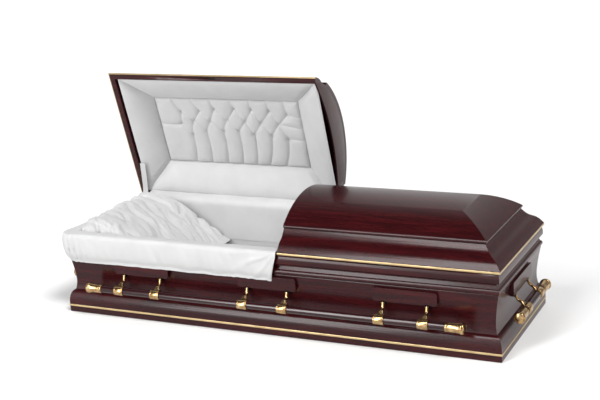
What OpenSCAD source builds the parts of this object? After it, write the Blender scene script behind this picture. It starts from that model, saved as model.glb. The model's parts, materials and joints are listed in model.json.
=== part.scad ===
// Half-couch hardwood funeral casket: a moulded case on a plinth, two crowned lids hinged
// at the back, cloth inside, and swinging bar handles on all four sides.
// Origin at the centre of the plinth's underside; +X to the foot end, +Y to the hinges, +Z up.

/* [Plinth] */
// Length over the plinth
plinth_l = 2134; // [1780:1:2560]
// Width over the plinth
plinth_w = 714; // [600:1:860]
// Height of the plinth
plinth_h = 108; // [90:1:140]
// Width of the plinth's timber
plinth_wood = 60; // [56:1:90]
// Height at which the rounded shoulder of the plinth starts
shoulder_z = 46; // [42:1:60]
// How far the rounded shoulder runs in
shoulder_in = 24; // [15:1:26]
// Bevel along the plinth's lower edge
foot_bevel = 3; // [1:0.5:6]

/* [Case walls] */
// Height of the case's upper edge above the floor
case_top = 378; // [340:1:460]
// Distance from the plinth's face in to the upper band
band_in = 8; // [6:0.5:12]
// Height of the flat band under the lid
band_h = 40; // [30:1:50]
// Distance from the plinth's face in to the wall's foot
foot_in = 26; // [25:0.5:30]
// Distance from the plinth's face in to the waist
waist_in = 32.5; // [28:0.5:36]
// Height of the waist above the plinth
waist_up = 47; // [35:1:60]
// Distance from the plinth's face in to the wall's inner face
wall_in = 52; // [48:1:56]
// Radius of the lower bead
bead_r = 9.5; // [7:0.5:11]
// Radius of the upper bead
small_bead_r = 6.5; // [5:0.5:8]
// Thickness of the floor board
floor_t = 18; // [12:1:25]

/* [Lids] */
// Gap between the case's upper edge and the lids
reveal = 2; // [1:0.5:4]
// Distance from the plinth's face in to the lids' lower edge
lid_in = 4.5; // [3:0.5:7]
// Where the two lids part
split_x = 64.5; // [0:0.5:150]
// Gap between the two lids
lid_gap = 5; // [3:0.5:8]
// Width of the lids' rail, seen from below
rail_w = 29; // [24:1:40]
// Height of the upright edge at the foot of the lid moulding
rail_edge = 11; // [9:0.5:14]
// Height of the lid moulding, up to the crown
moulding_h = 101; // [85:1:120]
// Distance from the plinth's face in to the top of the moulding
moulding_in = 88; // [80:1:96]
// Distance from the plinth's face in to the crown's edge
crown_in = 80; // [74:1:86]
// Height of the crown's upright edge
crown_edge = 8; // [5:0.5:12]
// Rise of the crown above its upright edge
crown_rise = 101; // [80:1:125]
// Thickness of the crown
crown_t = 20; // [16:0.5:24]
// Thickness of the boards across the lids' cut ends
end_board_t = 15; // [10:1:20]
// Rise of the arch under those boards
arch_rise = 66; // [50:1:76]
// How far the head lid stands open
open_deg = 73.6; // [60:0.1:85]

/* [Gold lines] */
// Height of a gold line
line_h = 9; // [6:0.5:9]
// How far a gold line is let in
line_sunk = 2.5; // [1.5:0.5:3]
// How far a gold line stands proud
line_proud = 1.5; // [1:0.5:2]
// Height of the gold line's lower edge on the plinth
plinth_line_z = 29; // [20:1:32]

/* [Hinges and catches] */
// Radius of the hinge knuckles
knuckle_r = 4; // [3.5:0.5:4.5]
// Radius of the hinge pins
hinge_pin_r = 1.8; // [1.5:0.1:2]
// Length of one hinge knuckle
knuckle_l = 60; // [40:5:80]
// Thickness of the hinge leaves
leaf_t = 1.8; // [1.2:0.1:2]
// Height of the hinge leaf on the case
leaf_h = 24; // [15:1:30]
// Running clearance of pins
pin_fit = 0.06; // [0.02:0.01:0.1]
// Where the head lid's catch lies along the casket
head_catch_x = -481; // [-700:1:-300]
// Where the foot lid's catch lies along the casket
foot_catch_x = 564; // [400:1:700]
// Length of a catch plate
catch_l = 36; // [25:1:50]

/* [Handles] */
// Diameter of the bars
bar_d = 35.5; // [28:0.5:43]
// Overall length of the long bars with their tips
long_bar_l = 1852; // [1540:1:2000]
// Overall length of the end bars with their tips
end_bar_l = 450; // [380:1:540]
// Spacing of the handle boards
board_pitch = 648; // [560:1:700]
// Length of a handle board
board_l = 288; // [240:1:340]
// Height of a handle board
board_h = 59; // [50:1:64]
// Height of a handle board's lower edge
board_z = 213; // [200:1:220]
// Distance from the plinth's face in to a handle board's face
board_in = 7; // [3:0.5:9]
// Corner radius of a handle board
board_r = 10; // [4:1:16]
// Spacing of the two arms under one board
arm_pitch = 196; // [150:1:220]
// Distance from the plinth's face in to the arm pivots
pivot_in = 14; // [12:0.5:16]
// Height of the arm pivots
pivot_z = 205; // [195:1:208]
// How far a bar stands out from its pivots
arm_out = 50; // [40:1:56]
// How far a bar hangs below its pivots
arm_drop = 57; // [45:1:60]
// Width of an arm at its pivot
arm_w = 10; // [8:0.5:12]
// Thickness of an arm
arm_t = 9; // [7:0.5:10]
// Width of an arm's ring
ring_w = 46; // [36:1:55]
// Thickness of an arm's ring
ring_t = 4.5; // [3:0.5:6]
// Radius of an arm's eye
eye_r = 7; // [6:0.5:8]
// Radius of the pivot pins
pivot_r = 3; // [2:0.5:3.5]
// Thickness of a lug's cheek
cheek_t = 4; // [3:0.5:5]
// Length of a bar's tip
tip_l = 84; // [60:1:95]
// Radius of a tip at its outer end
tip_r = 26; // [24:0.5:30]
// Radius of a tip at its inner end
tip_neck_r = 20.5; // [20:0.5:23]

/* [Cloth] */
// Thickness of the cloth lining of the walls
lining_t = 8; // [5:0.5:12]
// Thickness of the bed that fills the bottom of the case
mattress_t = 182; // [150:1:200]
// Length of the pillow
pillow_l = 515; // [430:1:600]
// Height of the pillow above the mattress
pillow_h = 236; // [190:1:240]
// Thickness of the cloth hanging over the case
drape_t = 7; // [5:0.5:8]
// How far that cloth hangs down outside
drape_drop = 122; // [100:1:122]
// How high that cloth lies on the front wall
drape_up = 14; // [10:0.5:14.5]
// Width of the roll inside the head lid
roll_w = 140; // [120:1:150]
// Depth of the cap panel inside the head lid
cap_up = 88; // [85:1:92]
// Thickness of the cap panel
cap_t = 10; // [6:0.5:12]
// Clearance round cloth pieces
cloth_gap = 0.4; // [0.3:0.1:0.6]

/* [Hidden] */
HANDLE_NODES = [
    for (side = ["front", "back"]) each [
        for (k = [1:3]) str(side, "_handle_board_", k),
        str(side, "_bar"), str(side, "_tips"),
        for (k = [1:6]) str(side, "_arm_", k)
    ],
    for (side = ["head", "foot"]) each [
        str(side, "_handle_board"), str(side, "_bar"), str(side, "_tips"), str(side, "_arms")
    ]
];

wood = "#4a2024";
dark_wood = "#3a1a1e";
gold = "#e8cf9a";
brass = "#c9a872";
dark_metal = "#2b2a28";
cloth = "#f2f2ef";

hx = plinth_l / 2;
hy = plinth_w / 2;
far = 4000;                       // longer than anything that is cut with it
lid_z = case_top + reveal;        // underside of the closed lids
bead_in = 20.5;                   // distance in to the lower bead's centre
small_bead_in = 26.5;             // distance in to the upper bead's centre
bead_below_band = 44;             // from the band down to the lower bead's centre
band_cove = [20, 18];             // width and height of the hollow under the band
moulding_n = 14;                  // points along the lid moulding
moulding_sway = 0.45;             // how strongly the lid moulding curves
rail_h = 20;                      // height of the rail's inner face
edge_left = 11;                   // thickness left at the moulding's inner edge
moulding_lap = 8;                 // how far the moulding runs in past the crown
knuckle_clear = 0.3;
hinge_up = 6;                     // height of the hinge line above the lids' underside
lock_l = 58;                      // length of the lock's recess in the front wall
lock_h = 7;
lock_deep = 6;
cheek_gap = 0.3;                  // between an arm and a cheek
recess_clear = 4;                 // round a lug in its board
lid_rest_deg = 1.1;               // slope on which the closing head lid lands
lid_rest_gap = 0.8;
drape_slant = 32;                 // how far the drape's end slants back
roll_seat = 6;                    // height at which the roll starts above the rail
catch_w = 12;
catch_h = 6;
moulding_top = lid_z + moulding_h;
crown_low = moulding_top + crown_edge;
crown_half = hy - crown_in;
crown_radius = (crown_half ^ 2 + crown_rise ^ 2) / (2 * crown_rise);
crown_centre = crown_low + crown_rise - crown_radius;
hinge_y = hy - lid_in + knuckle_r + knuckle_clear;
hinge_z = lid_z + hinge_up;
lining_in = wall_in + lining_t;   // inner face of the cloth on the walls
bed_z = floor_t + cloth_gap;
pillow_z = bed_z + mattress_t + cloth_gap;
recess_w = arm_w + 2 * cheek_t + 2 * recess_clear;
recess_h = pivot_z + eye_r + recess_clear - board_z;
arm_reach = sqrt(arm_out ^ 2 + arm_drop ^ 2);
arm_angle = atan2(arm_out, arm_drop);
ring_r = bar_d / 2 + ring_t;
bar_in_tip = tip_l - 24;          // how far a bar runs into its tip
head_cut = split_x - lid_gap / 2;
foot_cut = split_x + lid_gap / 2;

// points of an arc, in a plane
function arc(c, rx, ry, a0, a1, n) = [
    for (i = [0:n]) let (a = a0 + (a1 - a0) * i / n) [c.x + rx * cos(a), c.y + ry * sin(a)]
];
function flip(pts) = [for (i = [len(pts) - 1:-1:0]) pts[i]];

// Outlines are lists of [distance in from the plinth's face, height], from the bottom up.
plinth_outline = concat(
    [[foot_bevel, 0], [0, foot_bevel]],
    arc([shoulder_in, shoulder_z], -shoulder_in, plinth_h - 2 - shoulder_z, 0, 84, 10),
    [[shoulder_in, plinth_h]]
);
bead_z = case_top - band_h - bead_below_band;
small_bead_z = bead_z + bead_r + small_bead_r;
cove_top = bead_z - bead_r - 3.5;
cove_in = bead_in - bead_r + 2.5;
wall_outline = concat(
    [for (i = [0:3]) let (t = 1 - i / 4) [waist_in - (waist_in - foot_in) * t ^ 2,
        plinth_h + waist_up * (1 - t)]],
    [for (i = [0:9]) let (t = i / 9) [waist_in - (waist_in - cove_in) * t ^ 1.6,
        plinth_h + waist_up + (cove_top - plinth_h - waist_up) * t]],
    arc([bead_in, bead_z], -bead_r, bead_r, -70, 62, 8),
    arc([small_bead_in, small_bead_z], -small_bead_r, small_bead_r, -62, 70, 6),
    arc([band_in, case_top - band_h - band_cove.y], band_cove.x, band_cove.y, 0, 90, 7),
    [[band_in, case_top - 3], [band_in + 2, case_top]]
);
moulding_outline = concat(
    [[lid_in, lid_z]],
    [for (i = [0:moulding_n]) let (t = i / moulding_n) [lid_in + (moulding_in - lid_in) * t,
        lid_z + rail_edge + (moulding_h - rail_edge - 3) * (t + moulding_sway * sin(360 * t) / (2 * PI))]],
    [[moulding_in, moulding_top]]
);
moulding_seat = crown_in + crown_t + moulding_lap;   // inner edge of the moulding's top
moulding_inner = [
    [lid_in + rail_w, lid_z], [lid_in + rail_w, lid_z + rail_h],
    [moulding_seat, moulding_top - edge_left], [moulding_seat, moulding_top]
];
// Crown surface at a depth below its skin: distance in and height
function crown_line(depth, z0, n) = let (
        r = crown_radius - depth,
        a0 = acos((z0 - crown_centre) / r))
    [for (i = [0:n]) let (a = a0 * (1 - i / n)) [hy - r * sin(a), crown_centre + r * cos(a)]];
crown_outline = concat(
    [[crown_in + 1.5, moulding_top], [crown_in, moulding_top + 2]],
    crown_line(0, crown_low, 22)
);
crown_inner = crown_line(crown_t, moulding_top, 22);

// Prism along the casket between the two mirrored sides of an outline
module along(outline, half, length) {
    mirrored = [for (p = outline) if (p.x < half - 0.001) [half - p.x, p.y]];
    rotate([90, 0, 90])
        linear_extrude(length, center = true)
            polygon(concat([for (p = outline) [-half + p.x, p.y]], flip(mirrored)));
}
// Outline run round all four sides, mitred at the corners; the top may close to a ridge
module rounded_block(outline) {
    intersection() {
        along(outline, hy, plinth_l);
        rotate([0, 0, 90])
            along(concat(outline, [[hx, outline[len(outline) - 1].y]]), hx, plinth_w);
    }
}
module box_in(inset, z0, z1) {
    translate([-hx + inset, -hy + inset, z0])
        cube([plinth_l - 2 * inset, plinth_w - 2 * inset, z1 - z0]);
}
// Box between two corners
module span(a, b) {
    translate(a) cube(b - a);
}
// Keeps the part of a run that belongs to the front side, cut at 45 degrees at its ends
module mitre(half_len, half_deep) {
    reach = 100;
    out = 20;
    linear_extrude(far, center = true)
        polygon([
            [-half_len - out, -half_deep - out], [half_len + out, -half_deep - out],
            [half_len - reach, -half_deep + reach], [-half_len + reach, -half_deep + reach]
        ]);
}
module wall_run(half_len, half_deep) {
    intersection() {
        rotate([90, 0, 90])
            linear_extrude(2 * half_len, center = true)
                polygon(concat(
                    [for (p = wall_outline) [-half_deep + p.x, p.y]],
                    [[-half_deep + wall_in, case_top], [-half_deep + wall_in, plinth_h]]));
        mitre(half_len, half_deep);
    }
}
// Turns a piece made for the front side to one of the four sides; half_deep is that side's depth
module on_side(side) {
    turn = side == "front" ? 0 : side == "foot" ? 90 : side == "back" ? 180 : 270;
    rotate([0, 0, turn]) children();
}
function depth_of(side) = side == "front" || side == "back" ? hy : hx;
function half_run(side) = side == "front" || side == "back" ? hx : hy;

// --- case ---
module plinth() {
    color(wood)
        difference() {
            rounded_block(plinth_outline);
            box_in(plinth_wood, -1, plinth_h + 1);
            difference() {
                box_in(-5, plinth_line_z, plinth_line_z + line_h);
                box_in(line_sunk, 0, plinth_h);
            }
        }
}
module plinth_gold_line() {
    color(gold)
        difference() {
            box_in(-line_proud, plinth_line_z, plinth_line_z + line_h);
            box_in(line_sunk, 0, plinth_h);
        }
}
module floor_board() {
    color(dark_wood) box_in(plinth_wood, 0, floor_t);
}
module wall(side) {
    color(wood)
        difference() {
            on_side(side) wall_run(half_run(side), depth_of(side));
            if (side == "front") lock_recess();
        }
}
module lock_recess() {
    span([foot_catch_x - lock_l / 2, -hy, case_top - lock_h],
        [foot_catch_x + lock_l / 2, -hy + band_in + lock_deep, case_top + 1]);
}
module lock_plate() {
    color(dark_metal)
        span([foot_catch_x - lock_l / 2, -hy + band_in + 1, case_top - lock_h],
            [foot_catch_x + lock_l / 2, -hy + band_in + lock_deep, case_top - 1]);
}
module lining_ring(inset, thick, z0, z1) {
    difference() {
        box_in(inset, z0, z1);
        box_in(inset + thick, z0 - 1, z1 + 1);
    }
}
module side_lining() {
    color(cloth) lining_ring(wall_in + cloth_gap, lining_t - cloth_gap, plinth_h + cloth_gap,
        case_top);
}
module mattress() {
    color(cloth) box_in(lining_in + cloth_gap, bed_z, bed_z + mattress_t);
}
module pillow() {
    head_x = -hx + lining_in + cloth_gap;
    half = hy - lining_in - cloth_gap;
    top = pillow_z + pillow_h;
    slope = pillow_l - 150;
    color(cloth)
        intersection() {
            rotate([90, 0, 0])
                linear_extrude(2 * half, center = true)
                    polygon(concat(
                        [[head_x, pillow_z], [head_x, top - 52], [head_x + 22, top - 28],
                            [head_x + 58, top - 7], [head_x + 104, top], [head_x + 150, top - 4]],
                        [for (i = [1:8]) let (t = i / 8)
                            [head_x + 150 + slope * t, top - 4 - (pillow_h - 16) * t ^ 1.35]],
                        [[head_x + pillow_l, pillow_z]]));
            rotate([90, 0, 90])
                linear_extrude(far, center = true)
                    polygon([for (s = [-1, 1]) each let (
                            half_line = [[half, pillow_z - 1], [half, top - 50],
                                [half - 18, top - 26], [half - 50, top - 4], [half - 90, top + 1]])
                        [for (p = s < 0 ? half_line : flip(half_line)) [s * p.x, p.y]]]);
        }
}
// Cloth over the front and head walls: a bed on the upper edge and a fall outside
module ledge_drape() {
    z0 = case_top + cloth_gap;
    z1 = case_top + drape_up;
    low = case_top - drape_drop;
    face = board_in - cloth_gap;          // inner face of the fall, from the plinth's face
    right = head_cut - 1;
    head_back = hy - 30;
    color(cloth)
        difference() {
            union() {
                span([-hx + face - drape_t, -hy + face - drape_t, low], [right, -hy + face, z1]);
                span([-hx + face - drape_t, -hy + face - drape_t, low], [-hx + face, head_back, z1]);
                span([-hx + face - drape_t, -hy + face - drape_t, z0],
                    [right, -hy + lining_in, z1]);
                span([-hx + face - drape_t, -hy + face - drape_t, z0],
                    [-hx + lining_in, head_back, z1]);
            }
            // the head lid comes down on this slope
            translate([0, hinge_y, lid_z - lid_rest_gap])
                rotate([-lid_rest_deg, 0, 0])
                    span([-far, -far, 0], [far, 0, 100]);
            // the cloth's end slants back below the foot lid's corner
            rotate([90, 0, 0])
                linear_extrude(far, center = true)
                    polygon([[right + 1, case_top - 10], [right + 1, 0], [right - drape_slant, 0],
                        [right - drape_slant, low - 1]]);
        }
}

// --- handles ---
// Rounded board lying against the outside of a wall, with a recess for each of its arms
module handle_board(side, centre) {
    deep = depth_of(side);
    color(wood)
        on_side(side)
            difference() {
                translate([centre, -deep + board_in, 0])
                    rotate([90, 0, 0])
                        mirror([0, 0, 1])
                            linear_extrude(waist_in)
                                difference() {
                                    union() {
                                        translate([-board_l / 2, board_z])
                                            square([board_l, board_h - board_r]);
                                        translate([-board_l / 2 + board_r, board_z])
                                            square([board_l - 2 * board_r, board_h]);
                                        for (s = [-1, 1])
                                            translate([s * (board_l / 2 - board_r),
                                                board_z + board_h - board_r])
                                                circle(board_r, $fn = 32);
                                    }
                                    for (s = [-1, 1])
                                        translate([s * arm_pitch / 2 - recess_w / 2, board_z - 1])
                                            square([recess_w, recess_h + 1]);
                                }
                rotate([90, 0, 90])
                    linear_extrude(far, center = true)
                        polygon(concat(
                            [for (p = wall_outline) [-deep + p.x, p.y]],
                            [[-deep + wall_in, case_top], [-deep + wall_in, plinth_h]]));
            }
}
// Two cheeks with a riveted pin, let against the wall
module lug(side, centre) {
    deep = depth_of(side);
    half = arm_w / 2 + cheek_gap + cheek_t;
    pivot_y = -deep + pivot_in;
    on_side(side)
        translate([centre, 0, 0]) {
            difference() {
                union() {
                    span([-half, pivot_y, pivot_z - eye_r], [half, -deep + wall_in - 15,
                        pivot_z + eye_r]);
                    translate([-half, pivot_y, pivot_z])
                        rotate([0, 90, 0]) cylinder(h = 2 * half, r = eye_r, $fn = 48);
                }
                span([-arm_w / 2 - cheek_gap, pivot_y - 20, pivot_z - 20],
                    [arm_w / 2 + cheek_gap, pivot_y + eye_r + 1.5, pivot_z + 20]);
                rotate([90, 0, 90])
                    linear_extrude(far, center = true)
                        polygon(concat(
                            [for (p = wall_outline) [-deep + p.x, p.y]],
                            [[-deep + wall_in, case_top], [-deep + wall_in, plinth_h]]));
            }
            translate([-half, pivot_y, pivot_z])
                rotate([0, 90, 0]) cylinder(h = 2 * half, r = pivot_r, $fn = 48);
        }
}
function arm_places(side) = side == "front" || side == "back"
    ? [for (b = [-1:1], s = [-1, 1]) b * board_pitch + s * arm_pitch / 2]
    : [for (s = [-1, 1]) s * arm_pitch / 2];
module handle_lugs() {
    color(brass)
        for (side = ["front", "back", "head", "foot"], x = arm_places(side)) lug(side, x);
}
// One arm: an eye, a stem that widens downwards, and a ring round the bar
module arm(side, centre) {
    color(brass)
        on_side(side)
            translate([centre, -depth_of(side) + pivot_in, pivot_z])
                rotate([-arm_angle, 0, 0])
                    difference() {
                        union() {
                            rotate([0, 90, 0])
                                cylinder(h = arm_w, r = eye_r, center = true, $fn = 48);
                            rotate([90, 0, 0])
                                linear_extrude(arm_t, center = true)
                                    polygon([[-arm_w / 2, 0], [arm_w / 2, 0],
                                        [arm_w / 2 - 1.5, -eye_r - 8],
                                        [arm_w / 2 + 1, -arm_reach * 0.45],
                                        [ring_w / 2 - 4, -arm_reach + ring_r * 0.8],
                                        [ring_w / 2 - 4, -arm_reach],
                                        [-ring_w / 2 + 4, -arm_reach],
                                        [-ring_w / 2 + 4, -arm_reach + ring_r * 0.8],
                                        [-arm_w / 2 - 1, -arm_reach * 0.45],
                                        [-arm_w / 2 + 1.5, -eye_r - 8]]);
                            translate([0, 0, -arm_reach])
                                rotate([0, 90, 0])
                                    cylinder(h = ring_w, r = ring_r, center = true, $fn = 64);
                        }
                        rotate([0, 90, 0])
                            cylinder(h = ring_w, r = pivot_r + pin_fit, center = true, $fn = 48);
                        translate([0, 0, -arm_reach])
                            rotate([0, 90, 0])
                                cylinder(h = far, r = bar_d / 2, center = true, $fn = 64);
                    }
}
function bar_length(side) = side == "front" || side == "back" ? long_bar_l : end_bar_l;
module at_bar(side) {
    on_side(side)
        translate([0, -depth_of(side) + pivot_in - arm_out, pivot_z - arm_drop])
            rotate([0, 90, 0]) children();
}
module bar(side) {
    color(dark_wood)
        at_bar(side)
            cylinder(h = bar_length(side) - 2 * (tip_l - bar_in_tip), d = bar_d, center = true, $fn = 64);
}
// Flared ferrules on both ends of a bar
module tips(side) {
    half = bar_length(side) / 2;
    neck = max(tip_neck_r, bar_d / 2 + 1.5);
    color(brass)
        at_bar(side)
            for (s = [0, 1])
                mirror([0, 0, s])
                    rotate_extrude($fn = 64)
                        polygon([
                            [bar_d / 2, half - tip_l], [neck, half - tip_l],
                            [neck + 0.8, half - tip_l + 6], [neck, half - tip_l + 12],
                            [tip_r - 1.5, half - 16], [tip_r, half - 12], [tip_r, half - 4],
                            [tip_r - 4, half], [0, half], [0, half - tip_l + bar_in_tip],
                            [bar_d / 2, half - tip_l + bar_in_tip]
                        ]);
}

// --- lids ---
// Keeps the head lid's or the foot lid's part of a piece
module lid_part(which) {
    intersection() {
        children();
        if (which == "head") span([-far, -far, 0], [head_cut, far, far]);
        else span([foot_cut, -far, 0], [far, far, far]);
    }
}
module lid_pose(which) {
    if (which == "head")
        translate([0, hinge_y, hinge_z])
            rotate([-open_deg, 0, 0])
                translate([0, -hinge_y, -hinge_z]) children();
    else children();
}
module crown(which) {
    color(wood)
        lid_pose(which) lid_part(which)
            difference() {
                rounded_block(crown_outline);
                rounded_block(crown_inner);
            }
}
module moulding(which) {
    catch_x = which == "head" ? head_catch_x : foot_catch_x;
    color(wood)
        lid_pose(which)
            difference() {
                lid_part(which)
                    difference() {
                        rounded_block(moulding_outline);
                        rounded_block(moulding_inner);
                        line_ring(0, 5);
                    }
                catch_shape(catch_x);
            }
}
// Gold line round the lids' lower edge, on all sides but the back
module line_ring(clear, out) {
    difference() {
        box_in(lid_in - out, lid_z - clear, lid_z + line_h);
        span([-hx + lid_in + line_sunk, -hy + lid_in + line_sunk, 0],
            [hx - lid_in - line_sunk, far, far]);
        span([-far, hy - lid_in - 0.01, 0], [far, far, far]);
    }
}
module lid_gold_line(which) {
    color(gold) lid_pose(which) lid_part(which) line_ring(0, line_proud);
}
module catch_shape(x) {
    translate([x, -hy + lid_in + rail_w / 2, lid_z - 1])
        linear_extrude(catch_h + 1)
            union() {
                square([catch_l - catch_w, catch_w], center = true);
                for (s = [-1, 1])
                    translate([s * (catch_l - catch_w) / 2, 0]) circle(d = catch_w, $fn = 32);
            }
}
module catch_plate(which) {
    catch_x = which == "head" ? head_catch_x : foot_catch_x;
    color(dark_metal)
        lid_pose(which)
            intersection() {
                catch_shape(catch_x);
                span([-far, -far, lid_z + 2], [far, far, far]);
            }
}
// Board that closes a lid at its cut end, arched below
module end_board(which) {
    foot_y = hy - lid_in - rail_w;
    arch_r = (foot_y ^ 2 + arch_rise ^ 2) / (2 * arch_rise);
    arch_a = asin(foot_y / arch_r);
    inner = concat(moulding_inner, crown_inner);
    start = which == "head" ? head_cut - end_board_t : foot_cut;
    color(wood)
        lid_pose(which)
            translate([start, 0, 0])
                rotate([90, 0, 90])
                    linear_extrude(end_board_t)
                        polygon(concat(
                            [for (p = inner) [-hy + p.x, p.y]],
                            flip([for (i = [0:len(inner) - 2]) [hy - inner[i].x, inner[i].y]]),
                            [for (i = [1:15]) let (a = arch_a * (1 - i / 8))
                                [arch_r * sin(a), lid_z + arch_rise - arch_r * (1 - cos(a))]]));
}
// Padded roll round the inside of the head lid
module lining_roll() {
    base = lid_in + rail_w + cloth_gap;
    lean = (moulding_h - rail_h - edge_left) / (moulding_seat - lid_in - rail_w);
    back = [[base, roll_seat], [base, rail_h],
        [moulding_seat + cloth_gap, rail_h + lean * (moulding_seat + cloth_gap - base)],
        [base + roll_w, rail_h + lean * (moulding_seat - base) + roll_seat]];
    face = [[base + roll_w, cap_up - 2], [base + roll_w * 0.5, 49], [base + roll_w * 0.2, 22]];
    section = concat(back, face);
    near = head_cut - end_board_t - cloth_gap;
    color(cloth)
        lid_pose("head")
            for (part = [0:3]) roll_side(part, section, near);
}
// One side of the roll: 0 front, 1 back, 2 head end, 3 cut end
module roll_side(part, section, near) {
    head_x = -hx;
    // the cut end's roll starts at the end board, so its frame is shorter
    foot_x = near + section[0].x;
    mid = (head_x + foot_x) / 2;
    half_len = (foot_x - head_x) / 2;
    turn = [0, 180, 270, 90][part];
    deep = part < 2 ? hy : half_len;
    run = part < 2 ? half_len : hy;
    translate([mid, 0, lid_z])
        rotate([0, 0, turn])
            intersection() {
                rotate([90, 0, 90])
                    linear_extrude(2 * run, center = true)
                        polygon([for (p = section) [-deep + p.x, p.y]]);
                linear_extrude(far, center = true)
                    polygon([[-run, -deep], [run, -deep], [run - hy * 0.75, -deep + hy * 0.75],
                        [-run + hy * 0.75, -deep + hy * 0.75]]);
            }
}
module cap_panel() {
    inset = lid_in + rail_w + roll_w + 2 * cloth_gap;
    near = head_cut - end_board_t - roll_w - 2 * cloth_gap;
    color(cloth)
        lid_pose("head")
            span([-hx + inset, -hy + inset, lid_z + cap_up], [near, hy - inset,
                lid_z + cap_up + cap_t]);
}

// --- hinges ---
function hinge_places(which) = which == "head"
    ? [for (t = [0.15, 0.5, 0.85]) -hx + (head_cut + hx) * t]
    : [for (t = [0.15, 0.5, 0.85]) foot_cut + (hx - foot_cut) * t];
// Knuckles and pin at the hinge line, drawn about the middle of one hinge
module barrel(length) {
    translate([0, hinge_y, hinge_z])
        rotate([0, 90, 0]) cylinder(h = length, r = knuckle_r, center = true, $fn = 32);
}
module case_leaf(which) {
    face = hy - band_in;
    lid_face = hy - lid_in;
    color(dark_metal)
        for (x = hinge_places(which))
            translate([x, 0, 0]) {
                difference() {
                    union() {
                        barrel(3 * knuckle_l);
                        rotate([90, 0, 90])
                            linear_extrude(3 * knuckle_l, center = true)
                                polygon([[face, case_top - leaf_h], [face + leaf_t, case_top - leaf_h],
                                    [face + leaf_t, case_top - 4],
                                    [hinge_y + knuckle_r - 0.5, hinge_z - 2], [hinge_y, hinge_z],
                                    [lid_face + 0.4, hinge_z], [lid_face + 0.4, lid_z - 1],
                                    [face, case_top - 3]]);
                    }
                    translate([0, hinge_y, hinge_z])
                        cube([knuckle_l, 30, 60], center = true);
                }
                translate([0, hinge_y, hinge_z])
                    rotate([0, 90, 0])
                        cylinder(h = 3 * knuckle_l, r = hinge_pin_r, center = true, $fn = 32);
            }
}
module lid_leaf(which) {
    width = knuckle_l - 0.6;
    color(dark_metal)
        lid_pose(which)
            for (x = hinge_places(which))
                translate([x, 0, 0])
                    difference() {
                        union() {
                            barrel(width);
                            span([-width / 2, hy - lid_in, lid_z + 0.5],
                                [width / 2, hy - lid_in + 1, lid_z + rail_edge - 0.5]);
                        }
                        translate([0, hinge_y, hinge_z])
                            rotate([0, 90, 0])
                                cylinder(h = knuckle_l, r = hinge_pin_r + pin_fit, center = true,
                                    $fn = 32);
                    }
}

plinth();
plinth_gold_line();
floor_board();
wall("front");  // front_wall
wall("back");  // back_wall
wall("head");  // head_wall
wall("foot");  // foot_wall
handle_lugs();
mattress();
pillow();
side_lining();
ledge_drape();
lock_plate();
case_leaf("head");  // head_hinge_case_leaf
case_leaf("foot");  // foot_hinge_case_leaf
crown("head");  // head_crown
moulding("head");  // head_moulding
lid_gold_line("head");  // head_gold_line
end_board("head");  // head_end_board
lid_leaf("head");  // head_hinge_lid_leaf
catch_plate("head");  // head_catch_plate
lining_roll();
cap_panel();
crown("foot");  // foot_crown
moulding("foot");  // foot_moulding
lid_gold_line("foot");  // foot_gold_line
end_board("foot");  // foot_end_board
lid_leaf("foot");  // foot_hinge_lid_leaf
catch_plate("foot");  // foot_catch_plate
for (side = ["front", "back"]) {
    for (k = [1:3])
        handle_board(side, (k - 2) * board_pitch);
    for (k = [1:6])
        arm(side, arm_places(side)[k - 1]);
}
for (side = ["head", "foot"]) {
    handle_board(side, 0);
    for (x = arm_places(side)) arm(side, x);
}
for (side = ["front", "back", "head", "foot"]) {
    bar(side);
    tips(side);
}
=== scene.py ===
import json
import math

import bmesh
import bpy
import numpy as np
from mathutils import Matrix, Vector, noise


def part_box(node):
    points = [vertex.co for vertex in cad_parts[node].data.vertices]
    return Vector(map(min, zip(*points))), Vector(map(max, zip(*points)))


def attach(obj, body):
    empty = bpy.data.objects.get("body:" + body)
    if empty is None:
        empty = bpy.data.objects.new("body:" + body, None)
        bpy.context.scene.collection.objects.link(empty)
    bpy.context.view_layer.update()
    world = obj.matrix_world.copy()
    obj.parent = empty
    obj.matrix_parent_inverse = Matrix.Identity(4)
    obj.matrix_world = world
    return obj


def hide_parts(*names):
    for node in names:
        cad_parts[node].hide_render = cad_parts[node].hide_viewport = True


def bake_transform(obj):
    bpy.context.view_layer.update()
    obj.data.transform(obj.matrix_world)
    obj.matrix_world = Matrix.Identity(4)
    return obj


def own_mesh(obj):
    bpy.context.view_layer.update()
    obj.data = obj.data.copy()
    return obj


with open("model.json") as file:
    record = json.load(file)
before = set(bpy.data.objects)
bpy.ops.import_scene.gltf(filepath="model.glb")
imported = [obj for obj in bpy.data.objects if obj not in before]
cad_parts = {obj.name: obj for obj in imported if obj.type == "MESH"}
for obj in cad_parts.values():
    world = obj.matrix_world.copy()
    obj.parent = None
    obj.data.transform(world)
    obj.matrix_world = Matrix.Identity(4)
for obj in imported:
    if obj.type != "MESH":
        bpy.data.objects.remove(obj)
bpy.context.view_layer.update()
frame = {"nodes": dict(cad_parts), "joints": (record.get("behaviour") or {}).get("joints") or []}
mm = 0.001

cameraFacts = {"place": (2.38077, -4.82264, 2.01856), "lens": 72.96,
               "turn": (1.2993293, 0.0599550, 0.4381652)}
camera = bpy.data.objects.new("camera", bpy.data.cameras.new("camera"))
bpy.context.scene.collection.objects.link(camera)
camera.location = cameraFacts["place"]
camera.rotation_euler = cameraFacts["turn"]
camera.data.lens = cameraFacts["lens"]
camera.data.sensor_width = 36
bpy.context.scene.camera = camera

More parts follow.
